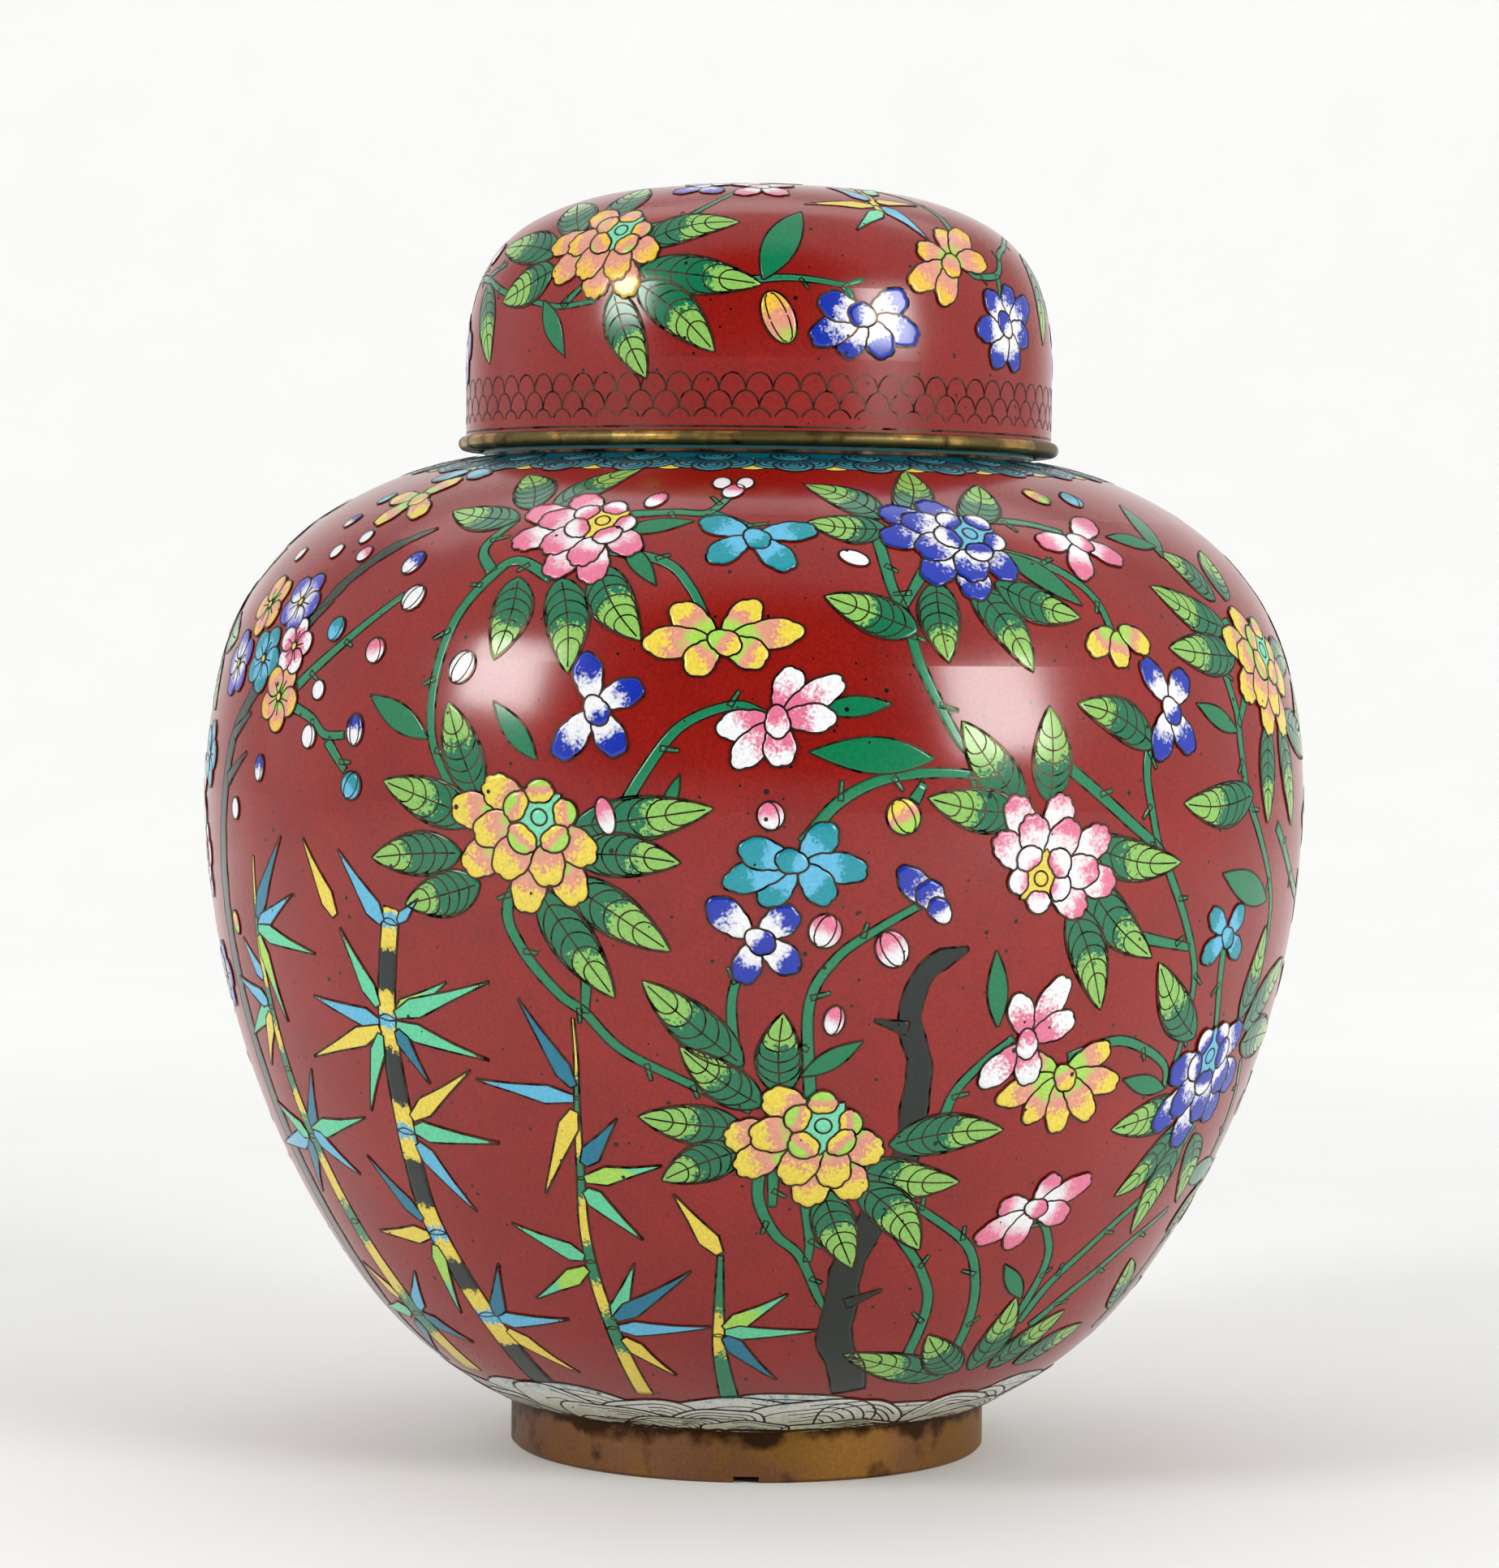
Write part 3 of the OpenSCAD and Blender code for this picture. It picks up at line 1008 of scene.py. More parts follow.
    def stamp(
        self, shape: Shape, middle: np.ndarray, forward: np.ndarray, lift: float, finish: int = 0
    ) -> None:
        """Lay a flat shape as a cell with its wires.

        Args:
            shape: the shape.
            middle: where its middle goes.
            forward: the direction that its tip points in.
            lift: the height of its polished face.
            finish: the number of its finish.
        """
        up = self.skin.normals(middle[None, :])[0]
        ahead = forward - up * forward.dot(up)
        ahead /= np.linalg.norm(ahead)
        right = np.cross(ahead, up)

        def place(flat: np.ndarray) -> np.ndarray:
            """Return flat points set in space."""
            return middle + flat[:, :1] * right + flat[:, 1:] * ahead

        heart = np.array([shape.middle])
        self.pad(
            place(shape.rim),
            place(heart)[0],
            lambda share: shape.tone(heart + (shape.rim - heart) * share),
            lift,
            finish,
        )
        self.wire(place(shape.rim), lift + WIRE_PROUD, closed=True)
        for vein in shape.veins:
            self.wire(place(vein), lift + WIRE_PROUD, width=0.8 * WIRE_WIDTH)

    def stamp_between(
        self, shape: Shape, root: np.ndarray, tip: np.ndarray, lift: float, finish: int = 0
    ) -> None:
        """Lay a shape so that it runs from its root to its tip."""
        middle = self.skin.lay(((root + tip) / 2)[None, :], 0.0)[0]
        self.stamp(shape, middle, tip - root, lift, finish)


def turned(towards: np.ndarray, up: np.ndarray, degrees: float) -> np.ndarray:
    """Turn a direction clockwise, as seen from outside, about the surface's own direction."""
    turn = Matrix.Rotation(math.radians(-degrees), 3, Vector(up))
    return np.array(turn @ Vector(towards))


@dataclass(frozen=True)
class Plant:
    """Something that grows in a garden, its cells gathered in one piece."""

    name: str

    def build(self, bench: Bench, garden: "Garden") -> None:
        """Lay the plant and make its piece.

        Args:
            bench: where its wires are gathered.
            garden: the side of the jar that it grows on.
        """
        patch = bench.with_cells(Inlay())
        self.lay(patch, garden, garden.rng(self.name))
        garden.piece(patch, self.name, *self.finishes())

    def lay(self, patch: Bench, garden: "Garden", rng: random.Random) -> None:
        """Lay the plant's cells and wires.

        Args:
            patch: where they are laid.
            garden: the side of the jar that it grows on.
            rng: the source of its irregularities.
        """
        raise NotImplementedError

    def finishes(self) -> tuple[Glaze | Finish, ...]:
        """Return the finishes of its cells, in the order of their numbers."""
        raise NotImplementedError


@dataclass(frozen=True)
class Peony(Plant):
    """A full-blown flower: a pointed heart, a cup of small petals and a fall of large ones."""

    glaze: Glaze
    heart_glaze: Glaze
    middle: Place
    heart: Place
    leaves: tuple[Span, ...] = ()
    size: float = 1.0
    # (turn from the fall's direction, distance from the heart, size), from the back forwards
    fall: tuple[tuple[float, float, float], ...] = (
        (-54, 11.4, 6.9), (57, 12.1, 7.0), (-20, 11.4, 7.1), (26, 12.3, 7.1), (-90, 7.9, 6.8),
        (90, 7.7, 6.8), (-42, 7.7, 7.0), (47, 8.3, 7.0), (3, 8.3, 7.1),
    )
    cup: tuple[tuple[float, float, float], ...] = (
        (151, 4.0, 5.6), (-127, 4.3, 5.5), (80, 4.3, 5.8), (-72, 4.3, 5.9), (13, 4.5, 6.3),
    )
    # How long a falling petal is for its width; its root lies hidden behind the cup
    petal_ratio: float = 1.32
    # The heart: its number of points, its outer and inner radius, its turn, and its ring
    star: tuple[int, float, float] = (5, 5.1, 3.0)
    star_turn: float = 30.0
    ring: tuple[float, float] = (2.5, 2.7)

    def lay(self, patch: Bench, garden: "Garden", rng: random.Random) -> None:
        """Lay the flower's own leaves, then the flower; see Plant.lay."""
        LeafSpray(f"{self.name}_leaves", self.leaves).build(patch, garden)
        heart = garden.spot(self.heart)
        fall = garden.spot(self.middle) - heart
        fall /= np.linalg.norm(fall)
        up = patch.skin.normals(heart[None, :])[0]
        lift = BLOOM_LIFT
        for turn, distance, width in self.fall:
            out = turned(fall, up, turn + rng.uniform(-5, 5))
            tucked = distance * rng.uniform(0.97, 1.03) - 0.5 * (self.petal_ratio - 1) * width
            place = heart + out * tucked * self.size
            petal = petal_shape(
                self.petal_ratio * width * self.size, width * self.size, rng.choice((4, 5, 6)), rng
            )
            patch.stamp(petal, patch.skin.lay(place[None, :], 0.0)[0], out, lift)
            lift += LAYER_STEP
        points, outer, inner = self.star
        star = star_shape(points, outer * self.size, inner * self.size)
        patch.stamp(star, heart, turned(fall, up, self.star_turn), lift, 1)
        lift += LAYER_STEP
        ring = oval_shape(self.ring[0] * self.size, self.ring[1] * self.size)
        patch.stamp(ring, heart, fall, lift, 1)
        for turn, distance, width in self.cup:
            lift += LAYER_STEP
            out = turned(fall, up, turn + rng.uniform(-6, 6))
            place = heart + out * distance * self.size
            petal = petal_shape(0.7 * width * self.size, width * self.size, 4, rng)
            patch.stamp(petal, patch.skin.lay(place[None, :], 0.0)[0], -out, lift)

    def finishes(self) -> tuple[Glaze | Finish, ...]:
        """Return the petals' and the heart's glaze."""
        return (self.glaze, self.heart_glaze)


@dataclass(frozen=True)
class LeafSpray(Plant):
    """Veined leaves, each from (azimuth, height) of its root to that of its tip."""

    leaves: tuple[Span, ...]
    fullness: float = 0.64
    widest: float = 8.4

    def lay(self, patch: Bench, garden: "Garden", rng: random.Random) -> None:
        """Lay the leaves; see Plant.lay."""
        for i, leaf in enumerate(self.leaves):
            root, tip = garden.ends(leaf)
            length = float(np.linalg.norm(tip - root)) * 1.04
            width = min(self.fullness * length, self.widest) * rng.uniform(0.94, 1.04)
            patch.stamp_between(leaf_shape(length, width, rng), root, tip, LEAF_LIFT + i % 8 * LAYER_STEP)

    def finishes(self) -> tuple[Glaze | Finish, ...]:
        """Return the leaves' enamel."""
        return (LEAF,)


@dataclass(frozen=True)
class Spray(Plant):
    """A small cluster: petals round a middle one, each at its own place."""

    glaze: Glaze
    middle: Place
    petals: tuple[Place, ...]
    size: float = 5.3
    with_middle: bool = True
    # Where a petal starts, as a share of its place's distance; how far it runs past its place and
    # how broad it is, as shares of its size
    start: float = 0.14
    past: float = 0.55
    breadth: float = 1.14

    def lay(self, patch: Bench, garden: "Garden", rng: random.Random) -> None:
        """Lay the petals; see Plant.lay."""
        centre = garden.spot(self.middle)
        lift = BLOOM_LIFT
        for place in self.petals:
            out = garden.spot(place) - centre
            reach = float(np.linalg.norm(out))
            size = self.size * rng.uniform(0.96, 1.06)
            length = (1 - self.start) * reach + self.past * size
            petal = petal_shape(length, self.breadth * size, rng.choice((3, 4)), rng)
            middle = centre + out * (1 + (self.past * size - 0.5 * length) / reach)
            patch.stamp(petal, patch.skin.lay(middle[None, :], 0.0)[0], out, lift)
            lift += LAYER_STEP
        if self.with_middle:
            out = garden.spot(self.petals[-1]) - centre
            petal = petal_shape(1.05 * self.size, 0.95 * self.size, 3, rng)
            patch.stamp(petal, centre + out * 0.12, out, lift)

    def finishes(self) -> tuple[Glaze | Finish, ...]:
        """Return the petals' glaze."""
        return (self.glaze,)


@dataclass(frozen=True)
class Buds(Plant):
    """Buds of one glaze, each (azimuth, height, length, width, caps)."""

    glaze: Glaze
    buds: tuple[tuple[float, float, float, float, int], ...]

    def lay(self, patch: Bench, garden: "Garden", rng: random.Random) -> None:
        """Lay the buds; see Plant.lay."""
        for azimuth, height, length, width, caps in self.buds:
            point = garden.spot((azimuth, height))
            up = patch.skin.normals(point[None, :])[0]
            lean = turned(garden.upward(point), up, rng.uniform(-35, 35))
            patch.stamp(oval_shape(length, width, caps), point, lean, BLOOM_LIFT)

    def finishes(self) -> tuple[Glaze | Finish, ...]:
        """Return the buds' glaze."""
        return (self.glaze,)


@dataclass(frozen=True)
class Blades(Plant):
    """Plain leaves of one enamel, each from its root to its tip."""

    leaves: tuple[Span, ...]
    slimness: float = 0.29

    def lay(self, patch: Bench, garden: "Garden", rng: random.Random) -> None:
        """Lay the leaves; see Plant.lay."""
        for i, leaf in enumerate(self.leaves):
            root, tip = garden.ends(leaf)
            length = float(np.linalg.norm(tip - root))
            blade = blade_shape(length, self.slimness * length)
            patch.stamp_between(blade, root, tip, LEAF_LIFT + (0.5 + i % 4) * LAYER_STEP)

    def finishes(self) -> tuple[Glaze | Finish, ...]:
        """Return the leaves' enamel."""
        return (PLAIN_LEAF,)


@dataclass(frozen=True)
class Stems(Plant):
    """Green stems with thorn stubs, each given by a few places along it."""

    stems: tuple[tuple[Place, ...], ...]
    root_width: float = 2.15
    tip_width: float = 1.4
    thorn_gap: float = 11.0
    wire_width: float = 0.3

    def lay(self, patch: Bench, garden: "Garden", rng: random.Random) -> None:
        """Lay the stems; see Plant.lay."""
        for stem in self.stems:
            path = smooth_path(np.array([garden.spot(place) for place in stem]))
            self._branch(patch, path, self.root_width, self.tip_width)
            next_thorn = rng.uniform(0.4, 1.0) * self.thorn_gap
            for here, there in zip(path, path[2:]):
                next_thorn -= 1.0
                if next_thorn > 0:
                    continue
                next_thorn = rng.uniform(0.7, 1.3) * self.thorn_gap
                up = patch.skin.normals(here[None, :])[0]
                ahead = (there - here) / np.linalg.norm(there - here)
                out = turned(ahead, up, rng.choice((-1, 1)) * rng.uniform(40, 65))
                reach = self.root_width * rng.uniform(1.1, 1.7)
                thorn = smooth_path(np.array([here, here + out * reach]), 0.7)
                self._branch(patch, thorn, 0.7 * self.tip_width, 0.4 * self.tip_width)

    def finishes(self) -> tuple[Glaze | Finish, ...]:
        """Return the stems' enamel."""
        return (STEM,)

    def _branch(self, bench: Bench, path: np.ndarray, first: float, last: float) -> None:
        """Lay one stretch whose width runs from first to last."""
        half = np.linspace(first, last, len(path)) / 2
        bench.strip(path, half, STEM_LIFT, wire_width=self.wire_width)


@dataclass(frozen=True)
class Trunk(Plant):
    """An old trunk: a dark ragged strip with stubs, from its foot to its top."""

    finish: Enamel
    line: tuple[Place, ...]
    stubs: tuple[Span, ...] = ()
    foot_width: float = 6.4
    top_width: float = 3.6
    # Length over which the broken top runs out to a point
    point_mm: float = 5.0

    def lay(self, patch: Bench, garden: "Garden", rng: random.Random) -> None:
        """Lay the trunk and its stubs; see Plant.lay."""
        path = smooth_path(np.array([garden.spot(place) for place in self.line]))
        lumps = np.array([rng.uniform(-0.3, 0.35) for _ in path])
        lumps = np.convolve(lumps, np.ones(3) / 3, mode="same")
        half = np.linspace(self.foot_width, self.top_width, len(path)) / 2 + lumps
        half *= np.clip(np.arange(len(path), 0, -1) / self.point_mm, 0.12, 1.0)
        patch.strip(path, half, LEAF_LIFT)
        for ends in self.stubs:
            stub = smooth_path(np.array(garden.ends(ends)), 0.8)
            patch.strip(stub, np.linspace(1.3, 0.25, len(stub)), LEAF_LIFT + 0.5 * LAYER_STEP)

    def finishes(self) -> tuple[Glaze | Finish, ...]:
        """Return the bark's enamel."""
        return (self.finish,)


@dataclass(frozen=True)
class Bamboo(Plant):
    """A bamboo cane, banded at its nodes, with narrow leaves in fans."""

    glaze: Glaze
    line: tuple[Place, ...]
    nodes: tuple[float, ...]
    widths: tuple[float, float]
    leaves: tuple[tuple[Glaze, Span], ...]
    # Distance from a node over which the cane's colour turns
    band_mm: float = 9.0
    # A leaf whose root lies nearer than this to the cane springs from the cane's edge
    rooting_mm: float = 6.0
    leaf_breadth: float = 0.33
    widest_leaf: float = 3.7

    def build(self, bench: Bench, garden: "Garden") -> None:
        """Lay the cane, then its leaves, which are a piece of their own.

        Args:
            bench: where the wires are gathered.
            garden: the side of the jar that it grows on.
        """
        super().build(bench, garden)
        path, half = self._cane(garden)
        rng = garden.rng(self.name)
        glazes = sorted({glaze for glaze, _ in self.leaves}, key=lambda glaze: glaze.name)
        fans = bench.with_cells(Inlay())
        for k, (glaze, leaf) in enumerate(self.leaves):
            root, tip = garden.ends(leaf)
            apart = np.linalg.norm(path - root, axis=1)
            i = int(apart.argmin())
            if apart[i] < self.rooting_mm:
                root = path[i] + (root - path[i]) * half[i] / max(apart[i], 0.1)
            length = float(np.linalg.norm(tip - root))
            width = min(self.widest_leaf, self.leaf_breadth * length) * rng.uniform(0.88, 1.05)
            blade = bamboo_blade_shape(length, width, rng)
            lift = LEAF_LIFT + (2 + k % 6) * LAYER_STEP
            fans.stamp_between(blade, root, tip, lift, glazes.index(glaze))
        garden.piece(fans, f"{self.name}_leaves", *(glaze.value for glaze in glazes))

    def _cane(self, garden: "Garden") -> tuple[np.ndarray, np.ndarray]:
        """Return the points along the cane's middle, and its half width at each."""
        path = smooth_path(np.array([garden.spot(place) for place in self.line]))
        return path, np.linspace(self.widths[0], self.widths[1], len(path)) / 2

    def lay(self, patch: Bench, garden: "Garden", rng: random.Random) -> None:
        """Lay the cane and its node rings; see Plant.lay."""
        path, half = self._cane(garden)
        near = np.min([np.abs(path[:, 2] - node) for node in self.nodes], axis=0)
        left, right = patch.strip(path, half, LEAF_LIFT, np.clip(near / self.band_mm, 0, 1))
        for node in self.nodes:
            i = int(np.abs(path[:, 2] - node).argmin())
            across = right[i] - left[i]
            rise = np.array((0, 0, 0.35 + 0.12 * np.linalg.norm(across)))
            share = np.linspace(0, 1, 7)[:, None]
            for bend in (1, -0.4):
                ring = left[i] + across * share + rise * bend * np.sin(np.pi * share)
                patch.wire(ring, LEAF_LIFT + WIRE_PROUD, width=0.8 * WIRE_WIDTH)

    def finishes(self) -> tuple[Glaze | Finish, ...]:
        """Return the cane's enamel, which is the same on both sides."""
        return (self.glaze.value,)


@dataclass(frozen=True)
class PlumBlossoms(Plant):
    """Open five-petalled blossoms with a dot and stamens, each (azimuth, height)."""

    glaze: Glaze
    places: tuple[Place, ...]
    petal_mm: float = 5.4

    def lay(self, patch: Bench, garden: "Garden", rng: random.Random) -> None:
        """Lay the blossoms; see Plant.lay."""
        for place in self.places:
            centre = garden.spot(place)
            up = patch.skin.normals(centre[None, :])[0]
            first = turned(garden.upward(centre), up, rng.uniform(0, 72))
            for k in range(5):
                out = turned(first, up, 72 * k)
                middle = patch.skin.lay((centre + out * 0.66 * self.petal_mm)[None, :], 0.0)[0]
                petal = oval_shape(self.petal_mm * 1.02, self.petal_mm)
                patch.stamp(petal, middle, out, BLOOM_LIFT + k * LAYER_STEP)
                stamen = centre + out * np.linspace(0.15, 0.62, 4)[:, None] * self.petal_mm
                patch.wire(stamen, BLOOM_LIFT + 6 * LAYER_STEP, width=0.7 * WIRE_WIDTH)
            patch.stamp(oval_shape(1.5, 1.5), centre, first, BLOOM_LIFT + 7 * LAYER_STEP, 1)

    def finishes(self) -> tuple[Glaze | Finish, ...]:
        """Return the petals' glaze and the dot's."""
        return (self.glaze, Glaze.LEMON.value)


@dataclass
class Garden:
    """One side of the jar or lid, with what grows on it."""

    side: str
    body: str
    skin: Skin
    turn: float
    swaps: dict[Glaze, Glaze]
    plants: Sequence[Plant]

    def rng(self, name: str) -> random.Random:
        """Return the seeded source of irregularities for a plant on this side."""
        return random.Random(zlib.crc32(self.named(name).encode()))

    def named(self, name: str) -> str:
        """Return a plant's piece name on this side."""
        return f"{self.side}_{name}"

    def piece(self, bench: Bench, name: str, *finishes: Glaze | Finish) -> None:
        """Make a plant's cells into a piece.

        Args:
            bench: the bench that gathered them.
            name: the plant's name.
            finishes: its finishes; a glaze is changed for the one that this side uses in its place.
        """
        chosen = [
            self.swaps.get(finish, finish).value if isinstance(finish, Glaze) else finish
            for finish in finishes
        ]
        bench.cells.piece(self.named(name), self.body, *chosen)

    def spot(self, place: Place) -> np.ndarray:
        """Return a place on this side as a point."""
        return self.skin.spot(place[0] + self.turn, place[1])

    def ends(self, span: Span) -> tuple[np.ndarray, np.ndarray]:
        """Return a span's root and tip on this side as points."""
        return self.spot(span[:2]), self.spot(span[2:])

    def upward(self, point: np.ndarray) -> np.ndarray:
        """Return the direction up the surface at a point."""
        across = np.array((-point[1], point[0], 0.0))
        up = np.cross(self.skin.normals(point[None, :])[0], across)
        return up / max(np.linalg.norm(up), 1e-9)

    def build(self) -> None:
        """Lay every plant, and gather the wires of each kind of plant in one piece."""
        wires: dict[str, Inlay] = {}
        for plant in self.plants:
            kind = type(plant).__name__.lower()
            bench = Bench(self.skin, Inlay(), wires.setdefault(kind, Inlay()))
            plant.build(bench, self)
        for kind, inlay in wires.items():
            inlay.piece(self.named(f"{kind}_wires"), self.body, CLOISON)


@dataclass(frozen=True)
class CloudBorder:
    """The border round the neck: cloud-head lappets with swirls, and half discs between them."""

    count: int = 28
    lobe_radius: float = 61.2
    tip_radius: float = 62.9
    side_step: float = 3.5
    lobe_mm: float = 7.2
    disc_radius: float = 61.8
    disc_mm: float = 7.2

    def build(self, skin: Skin) -> None:
        """Lay the lappets and discs round the whole shoulder."""
        wires, clouds, discs = Inlay(), Inlay(), Inlay()
        pitch = 360 / self.count
        for k in range(self.count):
            turn = k * pitch + 5.5
            self._disc(Bench(skin, discs, wires), turn + pitch / 2)
            self._cloud(Bench(skin, clouds, wires), turn)
        discs.piece("border_half_discs", "jar", Glaze.LEMON.value)
        clouds.piece("border_clouds", "jar", LAPPET)
        wires.piece("border_wires", "jar", CLOISON)

    def _point(self, skin: Skin, azimuth: float, radius: float) -> np.ndarray:
        """Return a point on the top of the shoulder."""
        return skin.spot(azimuth, skin.height_at(radius))

    def _disc(self, bench: Bench, azimuth: float) -> None:
        """Lay one disc under the gap between two lappets."""
        middle = self._point(bench.skin, azimuth, self.disc_radius)
        out = middle * (1, 1, 0)
        bench.stamp(oval_shape(self.disc_mm, self.disc_mm), middle, out, STEM_LIFT)

    def _cloud(self, bench: Bench, azimuth: float) -> None:
        """Lay one lappet: two side lobes, then the tip lobe, each with swirls inside."""
        out = self._point(bench.skin, azimuth, self.lobe_radius) * (1, 1, 0)
        step = math.degrees(self.side_step / self.lobe_radius)
        lobes = (
            (-step, self.lobe_radius, 1.0), (step, self.lobe_radius, 1.0), (0.0, self.tip_radius, 0.92),
            (0.0, self.lobe_radius - 4.2, 0.9),
        )
        lift = LEAF_LIFT
        for turn, radius, share in lobes:
            middle = self._point(bench.skin, azimuth + turn, radius)
            for scale in (1.0, 0.66, 0.34):
                size = self.lobe_mm * share * scale
                bench.stamp(oval_shape(size, 1.06 * size), middle, out, lift)
                lift += LAYER_STEP


@dataclass(frozen=True)
class RockBand:
    """White rocks round the foot, drawn as long overlapping mounds with flowing lines."""

    mounds: int = 22
    base_height: float = 9.9
    # Heights of the band's ragged upper edge above the table
    low_top: float = 15.6
    high_top: float = 20.8
    spread: float = 15.0

    def build(self, skin: Skin) -> None:
        """Lay the mounds round the whole foot, from the back ones to the front ones."""
        rng = random.Random(41)
        wires, rocks = Inlay(), Inlay()
        bench = Bench(skin, rocks, wires)
        lift = LEAF_LIFT
        for row, (drop, share) in enumerate(((0.0, 1.0), (2.4, 0.8), (4.8, 0.7))):
            order = list(range(self.mounds))
            rng.shuffle(order)
            for place, k in enumerate(order):
                azimuth = (k + 0.5 * (row % 2) + rng.uniform(-0.35, 0.35)) * 360 / self.mounds
                top = rng.uniform(self.low_top, self.high_top) - drop
                self._mound(bench, rng, azimuth, top, share, lift + place % 6 * LAYER_STEP)
            lift += 7 * LAYER_STEP
        # Soot and verdigris gather in a ragged line where the enamel meets the foot
        turn = np.arange(0.0, 360.0, 1.2)
        joint = [skin.spot(a, self.base_height + 0.35 + rng.uniform(-0.25, 0.25)) for a in turn]
        bench.wire(np.array(joint), lift, closed=True, width=1.3)
        rocks.piece("rock_band", "jar", ROCK)
        wires.piece("rock_band_wires", "jar", CLOISON)

    def _mound(
        self, bench: Bench, rng: random.Random, azimuth: float, top: float, share: float, lift: float
    ) -> None:
        """Lay one mound with two or three lines that follow its back."""
        spread = self.spread * share * rng.uniform(0.8, 1.25)
        lean = rng.uniform(-0.5, 0.5)
        turn = np.linspace(0, math.pi, 26)

        def ridge(scale: float, end: float) -> np.ndarray:
            """Return the line of the mound's back, shrunk to a scale, up to a share of its length."""
            arc = turn[: max(4, int(len(turn) * end))]
            rise = self.base_height + (top - self.base_height) * scale * np.sin(arc) ** 0.8
            rise = rise + 0.22 * np.sin(5 * arc + lean * 9)
            across = azimuth + spread * scale * (np.cos(arc) + lean * np.sin(arc))
            return np.array(
                [bench.skin.spot(a, max(h, self.base_height)) for a, h in zip(across, rise)]
            )

        rim = ridge(1.0, 1.0)
        heights = (rim[:, 2] - self.base_height) / (self.high_top - self.base_height)
        middle = (rim[0] + rim[-1]) / 2 * 0.62 + rim[len(rim) // 2] * 0.38
        middle = bench.skin.lay(middle[None, :], 0.0)[0]
        bench.pad(rim, middle, lambda k: heights * k, lift, 0)
        bench.wire(rim, lift + WIRE_PROUD, width=1.25 * WIRE_WIDTH)
        for scale in (0.86, 0.74, 0.62, 0.5, 0.38):
            if rng.random() < 0.85:
                line = ridge(scale, rng.uniform(0.45, 0.9))
                bench.wire(line[int(rng.uniform(0, 0.3) * len(line)) :], lift + WIRE_PROUD)


@dataclass(frozen=True)
class FishScales:
    """Rows of scale-shaped wires round the lid's skirt, over the red ground."""

    count: int = 72
    rows: int = 3
    step: float = 3.1
    edge: float = 0.8

    def build(self, skin: Skin, band: str) -> None:
        """Lay the wires.

        Args:
            skin: the lid's surface.
            band: the CAD node of the band that they cover.
        """
        low, high = (corner.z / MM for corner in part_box(band))
        wires = Inlay()
        bench = Bench(skin, Inlay(), wires)
        half_pitch = 180 / self.count
        turn = np.linspace(0, math.pi, 13)
        for row in range(self.rows):
            base = high - (row + 1.0) * self.step - self.edge / 2
            for k in range(self.count):
                middle = (2 * k + row % 2) * half_pitch
                across = middle - half_pitch * np.cos(turn)
                rise = base + self.step * np.sin(turn)
                keep = rise > low + self.edge
                if keep.sum() > 2:
                    path = np.array([skin.spot(a, h) for a, h in zip(across[keep], rise[keep])])
                    bench.wire(path, STEM_LIFT, width=0.3)
        wires.piece("fish_scale_wires", "lid", CLOISON)


